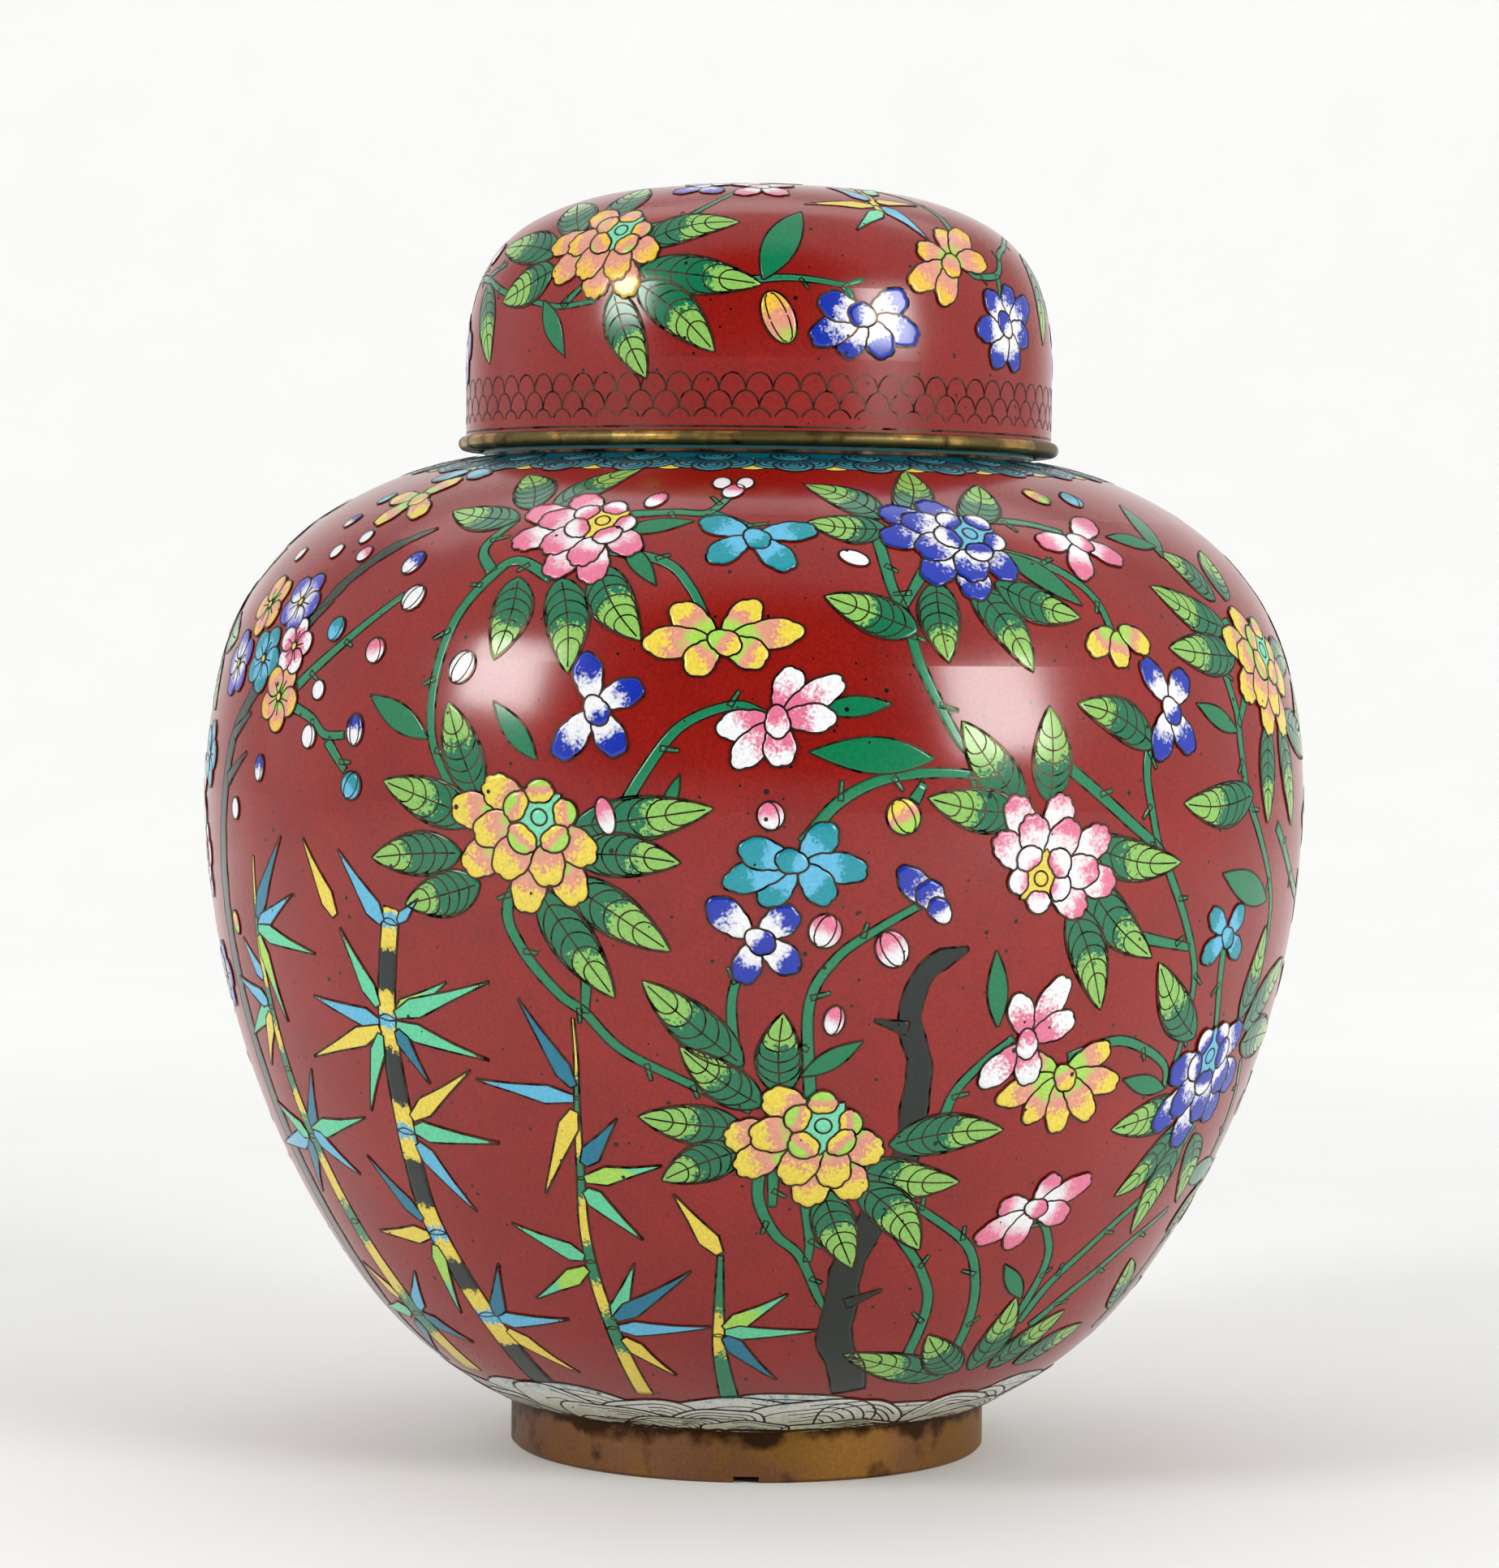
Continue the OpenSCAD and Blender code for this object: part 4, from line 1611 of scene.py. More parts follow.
BODY_PLANTS: tuple[Plant, ...] = (
    Stems(
        "stems",
        (
            ((-22, 160), (-27, 163), (-29.5, 160), (-32, 153), (-33, 143), (-32.5, 133), (-30, 125),
            (-27, 119)),
            ((-29.5, 161), (-32, 165), (-30, 170)),
            ((-17, 165), (-10, 163), (-7, 159), (-4.5, 152)),
            ((-16, 171), (-10, 171.5), (-6, 171.5), (-3.5, 174.5)),
            ((-6, 171.5), (0, 168.5)),
            ((13.5, 170), (14, 160), (15, 155), (16, 147), (18, 139), (20, 133), (22, 131), (27, 121)),
            ((18, 162), (15, 156)),
            ((27, 171), (34, 170.5), (39, 169)),
            ((26, 166), (34, 163), (38, 158), (39, 151)),
            ((61, 154), (57, 152), (56, 146), (57, 138), (57, 132), (58, 124), (61, 117), (65, 108),
             (66.5, 101), (66, 92), (60, 78)),
            ((60.5, 143), (57, 136)),
            ((-13, 120), (-10.5, 128), (-7, 136), (-2, 139.5), (1, 138)),
            ((4.5, 117), (8, 124), (13, 128), (20, 128.5), (25, 126)),
            ((15, 124), (16, 127)),
            ((45, 139), (42, 134), (41, 128), (42, 120), (43, 115)),
            ((30, 131), (38, 121), (43, 115), (45, 110), (48, 102), (50.5, 94), (51, 86), (50.5, 74)),
            ((41.3, 100.3), (49, 98)),
            ((-21.5, 113), (-24, 105), (-22.5, 98), (-19, 91), (-16.5, 88), (-13, 82), (-7, 77), (0, 72)),
            ((-16, 96), (-16.5, 88)),
            ((1, 62), (1, 56), (3, 50), (6, 46), (9, 38), (11, 35)),
            ((2.5, 62), (2.5, 55)),
            ((6, 58), (7, 49), (7, 45)),
            ((6, 74), (5.5, 90), (8, 98), (12, 103), (16, 107)),
            ((-1, 74), (-2, 90), (-0.5, 98)),
            ((24, 26), (24, 36), (22, 42), (18.5, 48), (12, 58)),
            ((32, 25), (31.5, 33), (30, 40), (27, 47), (21, 53), (15, 58)),
            ((40, 31), (40.5, 42), (38.5, 48), (35, 53)),
            ((41, 31), (43, 38), (47, 44), (51, 49), (57, 56), (60, 66)),
            ((44, 30), (48, 35), (52, 39), (57, 44), (64, 49)),
            ((20, 64), (21, 74), (24, 80), (27, 84)),
            ((34, 80), (40, 82.5), (45, 80.5), (49, 77), (50, 73)),
            ((55.5, 98), (56, 91), (58, 80)),
            ((-53, 141), (-48, 147), (-44, 152), (-40, 157)),
            ((-57, 139), (-50, 136), (-47, 133), (-44, 133)),
            ((-46.5, 132), (-43.5, 127)),
            ((67, 26), (71, 38), (73, 52), (72, 66), (68, 76)),
            ((66, 118), (74, 108), (82, 104), (88, 108), (90, 118), (89.5, 130), (90, 142)),
            ((90, 118), (94, 119), (97, 121)),
            ((88, 108), (95, 105), (101, 104)),
        ),
    ),
    Trunk(
        "bark_trunk", BARK,
        ((17, 19), (15, 24), (12, 30), (12, 37), (12, 44), (14, 52), (17, 65), (17, 72), (17, 80),
         (15.5, 88), (17, 96), (21, 99.5)),
        ((15.5, 86, 12, 87.5), (12.5, 37, 17, 39.5)),
    ),
    Trunk(
        "plum_trunk", GREY_BARK,
        ((-70, 18), (-69.5, 40), (-70, 60), (-70, 80), (-70, 100), (-69, 115), (-67.5, 125), (-66, 132),
         (-62, 140), (-58, 147), (-54, 152), (-50, 160), (-46, 165), (-41, 168.5)),
        ((-67, 124, -62, 129), (-54, 152, -51, 156), (-66, 132, -62, 136)),
        foot_width=6.5, top_width=1.8,
    ),
    Blades(
        "plain_leaves",
        (
            (-16, 168, -7.5, 170), (-15, 166, -10.5, 159), (28, 165.5, 36, 156.5), (54.5, 167, 46, 168.5),
            (54, 165, 58.5, 174.5), (56.5, 135, 49.5, 140), (64.5, 105, 53.5, 110.5), (-21, 130, -26, 139.5),
            (-33, 133, -41, 140), (17, 131, 5, 132), (6, 139, 13, 140), (5, 78, 11, 84), (65, 55, 78, 55),
            (50, 73, 42.5, 75.5), (39, 36, 33.5, 43), (25, 86, 24, 99), (-8.5, 121, -7, 128),
        ),
    ),
    Peony(
        "peony_top_left", Glaze.PINK, Glaze.LEMON, (-23, 165), (-18.5, 169.7),
        ((-29, 172, -36, 178), (-30, 170, -41, 171.5), (-26, 172, -18, 179.3), (-26, 160, -26.5, 146.5),
         (-21, 160, -18.5, 144.5), (-17, 162, -11.5, 150)),
        1.0,
    ),
    Peony(
        "peony_top_right", Glaze.BLUE, Glaze.SKY, (18.5, 164.5), (25.2, 168.3),
        ((15, 171, 6.5, 176.5), (15, 169, 6, 170), (18, 171, 23, 179.3), (26, 170, 32.5, 177),
         (19, 160, 19, 147), (23, 160, 28, 145.5), (26, 160, 35, 154.5), (16, 152, 7, 157.5)),
        1.04,
    ),
    Peony(
        "peony_right", Glaze.YELLOW, Glaze.MINT, (63, 140), (67.5, 149),
        ((60, 158, 54.5, 166), (63, 158, 67, 166.5), (59, 153, 48, 160), (59, 148, 47, 149.5),
         (70, 146, 80, 147), (70, 137, 84, 130), (64, 136, 63, 119), (68, 136, 71.5, 118),
         (59, 124, 46.5, 123)),
        1.1,
    ),
    Peony(
        "peony_left", Glaze.YELLOW, Glaze.MINT, (-23.5, 112), (-20.5, 120.5),
        ((-27, 124, -31, 139), (-27, 120, -38, 125.5), (-29, 114, -39.5, 112.5), (-27, 109, -35.5, 105),
         (-17, 119, -4, 122.5), (-17, 114.5, -7, 113.5), (-18, 110, -8, 99), (-20.5, 108, -13.5, 91)),
        1.08,
    ),
    Peony(
        "peony_middle_right", Glaze.PALE, Glaze.LEMON, (31, 118), (28.2, 111),
        ((26, 123, 20, 137), (26, 122, 16.5, 124.5), (29, 124, 29.5, 139.5), (33, 117, 46, 113),
         (33, 112, 43, 97), (32, 106, 37, 88.5), (42, 133, 33, 140)),
    ),
    Peony(
        "peony_low_middle", Glaze.YELLOW, Glaze.MINT, (4.5, 61), (7.5, 69.5),
        ((1, 73, -7, 82.5), (-1, 69, -11.5, 70.5), (-1, 65, -9.5, 59.5), (3, 75, 3, 88.5), (11, 62, 23.5, 59),
         (12, 59, 20.5, 47), (8, 58, 12.5, 44), (15, 66, 27.5, 68), (-1, 80, -10.5, 93.5)),
        1.08,
    ),
    Peony(
        "peony_low_right", Glaze.BLUE, Glaze.SKY, (60, 66), (57.5, 78),
        ((55, 69, 43, 66.5), (56, 66, 48, 54), (58, 63, 56, 46), (61, 63, 66, 50), (63, 84, 65.5, 100),
         (65, 82, 77, 93), (66, 79, 80, 79), (53, 82, 44.5, 95.5)),
        1.12,
    ),
    LeafSpray(
        "foot_leaves",
        ((33, 21, 14, 27), (35, 22, 26, 30), (38, 22, 38, 36), (42, 22, 50, 32), (48, 22, 59, 28),
         (67, 30, 61, 40), (70, 44, 77, 52)),
        0.5,
    ),
    Spray("aqua_spray_top", Glaze.AQUA, (-0.5, 167.5), ((-5, 169.5), (-4, 164.5), (5, 168.5), (2.5, 163.5))),
    Spray(
        "yellow_spray_top", Glaze.YELLOW, (-3.5, 150),
        ((-7.2, 154), (-9.5, 149.5), (-5.5, 146.8), (-1, 154.5), (2.8, 151.5), (-0.5, 147.8)), 5.6,
    ),
    Spray(
        "blue_spray_top", Glaze.BLUE, (-15.5, 139),
        ((-16.5, 145), (-12.3, 141.5), (-18, 132.5), (-13.5, 133.2)),
    ),
    Spray(
        "pink_spray_middle", Glaze.BLUSH, (2, 137.5),
        ((3.2, 143), (7, 142.5), (6, 137.5), (-2, 136), (-1, 131.3), (2.3, 132.3)),
    ),
    Spray(
        "aqua_spray_middle", Glaze.AQUA, (4, 113.8),
        ((6.5, 118), (9.2, 112.8), (6.3, 109.5), (1.8, 109), (-1.2, 111), (0, 115.5)),
    ),
    Spray(
        "blue_spray_middle", Glaze.BLUE, (0.3, 101.2),
        ((-3, 105.5), (2.8, 104.3), (-0.6, 96.3), (3.2, 97.5)),
    ),
    Spray("blue_half_spray", Glaze.BLUE, (18, 105.5), ((14.8, 111), (16.8, 108.5)), 4.8),
    Spray("pink_spray_top", Glaze.PINK, (40, 167.6), ((35.8, 167.3), (38.2, 163), (44.3, 170.5), (44, 165))),
    Spray(
        "yellow_trio", Glaze.YELLOW, (39.5, 153),
        ((36.3, 149.8), (39.2, 148.3), (42.3, 150.5)), 4.8, False,
    ),
    Spray(
        "blue_spray_right", Glaze.BLUE, (45, 139.5),
        ((43, 145.5), (47.3, 143.5), (43.2, 133.2), (47, 133.8)),
    ),
    Spray(
        "blush_spray_low", Glaze.BLUSH, (28.5, 83.5),
        ((31.5, 92), (27.3, 89), (32.3, 86.2), (25.2, 77.8), (29.2, 78.6)),
    ),
    Spray(
        "yellow_fan_low", Glaze.YELLOW, (33.5, 77.5),
        ((29, 79.5), (27.8, 74), (31, 71.2), (34.3, 69.5), (37.8, 80.5), (40, 75.3), (37.8, 71)), 5.4,
    ),
    Spray(
        "pink_spray_low", Glaze.PINK, (34.5, 53.5),
        ((31.3, 53.8), (29.2, 48.8), (33.4, 48.3), (36, 57.3), (40.6, 57), (38.8, 51.8)), 5.0,
    ),
    Spray("aqua_cross", Glaze.AQUA, (55.5, 99.5), ((53, 102.8), (57.7, 102.8), (52.6, 96.6), (58, 97)), 4.6),
    Spray(
        "yellow_plum_group", Glaze.YELLOW, (-51.5, 174),
        ((-56, 174), (-53.2, 170.5), (-50, 176.5), (-47.5, 171.5)), 5.0,
    ),
    Spray("aqua_plum_pair", Glaze.AQUA, (-50, 179), ((-54, 178), (-46.5, 178.3)), 5.0, False),
    Buds(
        "white_buds", Glaze.WHITE,
        ((-5, 176.6, 4.6, 3.2, 0), (-1.8, 176.6, 4.6, 3.0, 0), (10.5, 164, 3.2, 5.4, 0),
         (-67, 164, 3.2, 3.2, 0),
         (-57, 164.5, 3.4, 3.4, 0), (-38.5, 156.5, 5.2, 4.6, 2), (-49, 140.5, 3.6, 3.4, 0),
         (-49.5, 132.5, 4.2, 4.0, 1), (-64.5, 119, 4.0, 3.4, 0), (-30, 145, 6.0, 4.8, 2),
         (-53, 167, 3.4, 3.2, 0)),
    ),
    Buds(
        "pink_buds", Glaze.PINK,
        ((-3.3, 175.2, 5.2, 3.6, 0), (-13, 173.5, 5.2, 3.4, 0), (1.5, 121.5, 4.8, 4.6, 1),
         (6.8, 102.5, 5.8, 5.6, 2),
         (13.3, 99.5, 6.6, 5.6, 2), (8, 87.5, 5.2, 3.6, 1), (-14, 121, 6.4, 3.2, 0),
         (-50.5, 164, 3.6, 3.6, 0),
         (-41.5, 147.5, 4.6, 4.4, 1)),
    ),
    Buds(
        "blue_buds", Glaze.BLUE,
        ((-41, 162.5, 5.2, 4.2, 1), (-42.5, 134, 5.6, 4.0, 2), (-58.5, 126.5, 4.8, 3.4, 1),
        (-61, 170, 4, 3, 0)),
    ),
    Buds(
        "aqua_buds", Glaze.AQUA,
        ((47.5, 175, 5.6, 4.4, 1), (-48.5, 151, 4.6, 4.4, 1), (-42.5, 124.5, 5.0, 4.8, 2),
        (-60, 174, 4, 3, 0)),
    ),
    Buds(
        "yellow_buds", Glaze.YELLOW,
        ((14, 121.5, 6.2, 5.8, 2), (41, 175.3, 5.6, 4.4, 1), (-67, 98.5, 4.4, 3.2, 0), (80, 66, 5, 4.4, 1)),
    ),
    PlumBlossoms("yellow_plum", Glaze.AMBER, ((-65.5, 155), (-56, 139))),
    PlumBlossoms("blue_plum", Glaze.LILAC, ((-57.5, 155.5), (-69, 144.5), (-77, 88))),
    PlumBlossoms("aqua_plum", Glaze.AQUA, ((-61.5, 145.5), (-76, 128))),
    PlumBlossoms("blush_plum", Glaze.BLUSH, ((-55.2, 147.8), (-79, 110)), 4.6),
    Bamboo(
        "yellow_bamboo", Glaze.CANE,
        ((-56.5, 18), (-57.5, 30), (-59, 40), (-60, 50), (-60.5, 60), (-61, 72), (-61, 85), (-61, 97),
         (-60.5, 105), (-60.2, 111)),
        (29, 45.5, 61, 73, 84.5, 100), (6.2, 0.6),
        (
            (Glaze.STRAW, (-62, 31, -66, 37)), (Glaze.SEA, (-60, 29, -70, 28)),
            (Glaze.TEAL, (-60, 27, -66, 20)),
            (Glaze.SKY, (-54.5, 30, -50, 38)), (Glaze.TEAL, (-55, 29, -46.5, 25)),
            (Glaze.SEA, (-62, 61, -69, 66)),
            (Glaze.SKY, (-62, 60.5, -75, 57.5)), (Glaze.TEAL, (-62, 60, -66, 50)),
            (Glaze.TEAL, (-59.5, 62, -55, 74)),
            (Glaze.SEA, (-59, 62.5, -47, 66.5)), (Glaze.SKY, (-59, 62, -52, 55.5)),
            (Glaze.SKY, (-62, 85, -69.5, 88.5)),
            (Glaze.SEA, (-62, 84, -69.5, 78)), (Glaze.STRAW, (-62, 83, -66, 73)),
            (Glaze.TEAL, (-60, 100, -54, 115)),
            (Glaze.SKY, (-60, 98, -52.5, 105)), (Glaze.SEA, (-59.5, 98.5, -49.5, 95)),
            (Glaze.APPLE, (-59.8, 97, -57.5, 82)), (Glaze.SKY, (-62.5, 89, -65.5, 96)),
        ),
    ),
    Bamboo(
        "black_bamboo", Glaze.BLACK_CANE,
        ((-37, 17), (-38.5, 28), (-40.5, 40), (-41.5, 50), (-41, 60), (-40.5, 68), (-40, 80), (-39.5, 88),
         (-38, 100), (-37.5, 104)),
        (31, 46.5, 65, 84.5, 102), (5.4, 3.6),
        (
            (Glaze.SKY, (-39.5, 101.5, -44.5, 113.5)), (Glaze.SKY, (-37, 102, -34, 106)),
            (Glaze.SEA, (-41.5, 87, -45, 100)), (Glaze.SKY, (-41.5, 84, -51, 87.5)),
            (Glaze.STRAW, (-42.5, 83, -53.5, 76.5)), (Glaze.SEA, (-41.5, 82, -45.5, 68)),
            (Glaze.APPLE, (-38, 85.5, -31.5, 92)), (Glaze.SEA, (-37, 85.5, -26.5, 92.5)),
            (Glaze.SEA, (-37, 84, -27.5, 79)), (Glaze.TEAL, (-38.5, 83, -35.5, 74)),
            (Glaze.STRAW, (-39, 67.5, -30, 77)), (Glaze.SEA, (-39, 65.5, -28, 64.5)),
            (Glaze.SKY, (-39.5, 63, -33.5, 51.5)), (Glaze.TEAL, (-42.5, 48.5, -49, 59.5)),
            (Glaze.STRAW, (-42.8, 46, -53.5, 45)), (Glaze.APPLE, (-43, 44, -44.5, 31)),
            (Glaze.TEAL, (-37, 31.5, -33, 42)), (Glaze.SKY, (-37, 31, -25, 32.5)),
            (Glaze.STRAW, (-37, 29, -27.5, 21.5)), (Glaze.STRAW, (-45.5, 102, -50, 115)),
        ),
    ),
    Bamboo(
        "slender_bamboo", Glaze.CANE,
        ((-17.5, 18), (-18.5, 28), (-19.5, 40), (-19.5, 50), (-18.8, 60), (-18.2, 72), (-17.8, 80),
        (-17.8, 87)),
        (31, 44, 59, 73.5), (3.1, 0.5),
        (
            (Glaze.TEAL, (-19, 75, -23.5, 90)), (Glaze.SKY, (-19, 73, -29.5, 75.5)),
            (Glaze.STRAW, (-19, 71, -23.5, 56)), (Glaze.TEAL, (-18, 61.5, -14, 70)),
            (Glaze.APPLE, (-18, 59, -9.5, 62)), (Glaze.SEA, (-18, 57, -12.5, 48.5)),
            (Glaze.SEA, (-20.5, 44.5, -29, 50)), (Glaze.APPLE, (-20.5, 42.5, -29, 36)),
            (Glaze.SEA, (-18, 33, -14, 44)), (Glaze.TEAL, (-15, 34, -7, 43)),
            (Glaze.SKY, (-18, 31.5, -5, 32.5)),
            (Glaze.STRAW, (-17, 29.5, -11, 22.5)),
        ),
    ),
    Bamboo(
        "young_bamboo", Glaze.GREEN_CANE,
        ((-3, 18), (-4, 28), (-3.8, 36), (-3.4, 46)), (31,), (3.3, 1.0),
        (
            (Glaze.APPLE, (-2.5, 32, 5, 39)), (Glaze.SEA, (-2, 31.5, 9.5, 32)),
            (Glaze.TEAL, (-2.5, 30.5, 4.5, 22)),
            (Glaze.STRAW, (-3.5, 47, -8.5, 57)),
        ),
    ),
    Bamboo(
        "side_bamboo", Glaze.GREEN_CANE,
        ((86, 18), (87, 32), (88, 48), (88, 64), (87, 80), (87, 96)), (30, 48, 66, 84), (4.2, 0.8),
        (
            (Glaze.APPLE, (87, 31, 76, 34)), (Glaze.STRAW, (86, 30, 79, 22)), (Glaze.SEA, (89, 31, 97, 36)),
            (Glaze.TEAL, (88, 29, 95, 22)), (Glaze.SKY, (87, 49, 79, 56)), (Glaze.SEA, (87, 48, 77, 44)),
            (Glaze.STRAW, (89, 49, 98, 54)), (Glaze.TEAL, (89, 47, 97, 40)), (Glaze.SEA, (87, 67, 79, 72)),
            (Glaze.SKY, (89, 67, 98, 73)), (Glaze.APPLE, (89, 65, 97, 60)), (Glaze.TEAL, (87, 85, 80, 92)),
            (Glaze.STRAW, (88, 86, 95, 95)), (Glaze.SEA, (88, 84, 96, 80)),
        ),
    ),
    Peony(
        "peony_far_right", Glaze.PINK, Glaze.LEMON, (90, 147), (92.5, 154),
        ((95, 158, 101, 165), (88, 158, 82, 166), (97, 152, 106, 149), (95, 145, 103, 136),
         (90, 140, 89, 126), (84, 143, 76.5, 135)),
    ),
    Spray("side_spray_blue", Glaze.BLUE, (97, 121), ((94, 125), (100, 124), (94.5, 116), (99.5, 116.5))),
    LeafSpray("side_leaves", ((88, 100, 79, 109), (89, 104, 98, 108), (88, 114, 80, 119))),
    Buds("side_buds", Glaze.YELLOW, ((84, 121.5, 5, 4.6, 2), (102, 104, 4.6, 4.4, 2))),
    Spray("side_spray_pink", Glaze.PINK, (94, 171), ((90, 173), (92, 167), (98, 173), (97, 167.5))),
)

LID_PLANTS: tuple[Plant, ...] = (
    Stems(
        "stems",
        (
            ((-83, 215), (-72, 214.5), (-60, 211.5), (-47, 209), (-41, 208.3), (-33, 209)),
            ((-72, 215), (-64, 217)),
            ((-41, 208.3), (-36, 212)),
            ((-26, 222), (-17, 224), (-10, 228), (-4, 230.6)),
            ((-3, 212.4), (5, 213), (12, 212.5), (16, 212), (20, 213)),
            ((16, 212), (18, 209)),
            ((45, 217), (47, 215), (55, 215.5), (60, 219.5), (65, 221), (76, 223.5)),
            ((55, 215.5), (54, 211)),
            ((46.5, 222), (49, 227.5), (40, 231.6)),
            ((84, 212), (92, 208), (98, 213), (104, 218)),
        ),
        root_width=1.5, tip_width=0.9,
    ),
    Peony(
        "peony_side", Glaze.AMBER, Glaze.MINT, (-36, 214.8), (-31, 221.6),
        ((-25, 219, -5, 223), (-24, 214.5, 0, 211.7), (-24, 212, -8.5, 200), (-29, 210.5, -21.5, 195.5),
         (-46, 218, -71, 220), (-45, 215, -60, 209.8), (-42, 221, -60, 228), (-36, 223, -43, 230.6),
         (-71, 213.5, -64, 199), (78, 221, 72.5, 204)),
        0.96,
    ),
    Blades(
        "plain_leaves",
        ((-46, 209.4, -39.5, 199.5), (0.3, 212, 9.3, 225.5), (92, 209, 99, 201)), 0.34,
    ),
    Buds("yellow_buds", Glaze.AMBER, ((3.4, 206, 9.8, 5.6, 2), (104, 219.5, 5, 4.4, 1))),
    Spray(
        "blue_spray", Glaze.BLUE, (20, 206.5),
        ((26, 209.2), (28.3, 203.8), (22.8, 201.9), (17, 202), (11.8, 203.2), (14, 208.2)), 5.4,
    ),
    Spray(
        "amber_spray", Glaze.AMBER, (41.5, 217),
        ((43, 221.5), (49, 222.2), (49.5, 217.6), (36.5, 218.5), (32.5, 213.4), (38, 211.6)), 5.2,
    ),
    Spray(
        "blue_spray_right", Glaze.BLUE, (54.8, 206),
        ((57, 211.3), (62.8, 210), (60.5, 205), (57, 200.9), (51.6, 201), (48.3, 205.4), (51, 210.4)), 5.0,
    ),
    Spray("lilac_spray", Glaze.LILAC, (-83, 205), ((-79.5, 202.8), (-81, 198.6), (-87, 201), (-88, 206.5))),
    Spray(
        "pink_crown_spray", Glaze.PINK, (0, 230.4),
        ((-4.5, 229.2), (4.5, 229.2), (7, 231), (-6, 231.2)), 4.6,
    ),
    Spray(
        "lilac_crown_spray", Glaze.LILAC, (-20, 230.6),
        ((-15, 229.6), (-23.5, 229.7), (-14, 231.5), (-26, 231.4)), 4.6,
    ),
    Bamboo(
        "crown_bamboo", Glaze.GREEN_CANE, ((30, 226), (31, 228), (33, 229.6), (36, 230.8)), (227.2,),
        (1.8, 1.4),
        (
            (Glaze.STRAW, (29, 227, 10.6, 226.8)), (Glaze.SEA, (30, 226, 20.7, 222)),
            (Glaze.SKY, (33, 226.8, 37.6, 220.7)), (Glaze.STRAW, (34, 227.6, 46, 227.8)),
            (Glaze.SKY, (29, 228.2, 24, 231)), (Glaze.SEA, (35, 229.4, 46, 231.2)),
        ),
    ),
)

BACK_SWAPS: dict[Glaze, Glaze] = {
    Glaze.PINK: Glaze.YELLOW,
    Glaze.YELLOW: Glaze.PINK,
    Glaze.BLUE: Glaze.BLUSH,
    Glaze.BLUSH: Glaze.PINK,
    Glaze.PALE: Glaze.BLUE,
    Glaze.AMBER: Glaze.PINK,
    Glaze.MINT: Glaze.LEMON,
    Glaze.LEMON: Glaze.SKY,
}


@dataclass(frozen=True)
class Crown:
    """The flower in the middle of the lid's top, with leaves round it."""

    glaze: Glaze = Glaze.BLUE
    leaf_count: int = 6
    leaf_mm: float = 11.0
    petal_mm: float = 6.0

    def build(self, skin: Skin) -> None:
        """Lay the leaves, two rows of petals and the heart."""
        rng = random.Random(7)
        top = np.array((0.0, 0.0, skin.curve[-1, 1]))
        bench = Bench(skin, Inlay(), Inlay())
        leaves = bench.with_cells(Inlay())
        for k in range(self.leaf_count):
            turn = math.radians(360 / self.leaf_count * (k + rng.uniform(-0.15, 0.15)))
            out = np.array((math.cos(turn), math.sin(turn), 0.0))
            leaf = leaf_shape(self.leaf_mm, 0.56 * self.leaf_mm, rng)
            middle = skin.lay((top + out * 0.98 * self.leaf_mm)[None, :], 0.0)[0]
            leaves.stamp(leaf, middle, out, LEAF_LIFT + k * LAYER_STEP)
        leaves.cells.piece("crown_leaves", "lid", LEAF)
        lift = BLOOM_LIFT
        for count, distance, size in ((8, 7.4, 1.0), (6, 4.3, 0.86)):
            for k in range(count):
                turn = 2 * math.pi * (k + distance) / count
                out = np.array((math.cos(turn), math.sin(turn), 0.0))
                petal = petal_shape(self.petal_mm * size, self.petal_mm * size, 4, rng)
                middle = skin.lay((top + out * distance)[None, :], 0.0)[0]
                bench.stamp(petal, middle, out, lift)
                lift += LAYER_STEP
        ahead = np.array((1.0, 0.0, 0.0))
        bench.stamp(star_shape(5, 3.0, 2.0), top + ahead * 0.01, ahead, lift, 1)
        bench.cells.piece("crown_flower", "lid", self.glaze.value, Glaze.LEMON.value)
        bench.wires.piece("crown_wires", "lid", CLOISON)


@dataclass(frozen=True)
class Metalwork:
    """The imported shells, rims and linings, dressed in their own finishes."""

    reds: tuple[str, ...] = ("body_enamel", "lid_enamel", "lid_scale_band", "lid_edge_strip")
    linings: tuple[str, ...] = ("body_lining", "neck_lining", "neck_enamel", "lid_lining", "base_enamel")
    coppers: tuple[str, ...] = ("lower_bowl", "upper_shoulder", "neck_collar", "lid_dome", "base_plate")
    wires: tuple[str, ...] = ("shoulder_ring_wire", "wave_ring_wire", "neck_ring_wire", "lid_ring_wire")
    rims: tuple[str, ...] = ("lid_rim", "neck_lip")

    def dress(self) -> None:
        """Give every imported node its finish."""
        finishes = {
            **dict.fromkeys(self.reds, RED_GROUND),
            **dict.fromkeys(self.linings, LINING),
            **dict.fromkeys(self.coppers, SHEET_COPPER),
            **dict.fromkeys(self.wires, CLOISON),
            **dict.fromkeys(self.rims, BRASS),
            "foot_ring": FOOT_COPPER,
            "shoulder_border": LAPPET,
            "wave_border": ROCK,
        }
        for name, finish in finishes.items():
            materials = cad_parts[name].data.materials
            for place in range(len(materials)):
                materials[place] = finish.material()
            LOG.info("%s: %s", name, finish.name)


@dataclass(frozen=True)
class Softbox:
    """A rectangular soft light, with its width and height, its watts and the point that it faces."""

    name: str
    place: tuple[float, float, float]
    size: tuple[float, float]
    power: float
    target: tuple[float, float, float] = (0.0, 0.0, 0.13)

    def hang(self) -> None:
        """Add the light to the scene."""
        light = bpy.data.lights.new(self.name, "AREA")
        light.shape = "RECTANGLE"
        light.size, light.size_y = self.size
        light.energy = self.power
        box = bpy.data.objects.new(self.name, light)
        aim = Vector(self.target) - Vector(self.place)
        box.rotation_euler = aim.to_track_quat("-Z", "Y").to_euler()
        box.location = self.place
        bpy.context.scene.collection.objects.link(box)


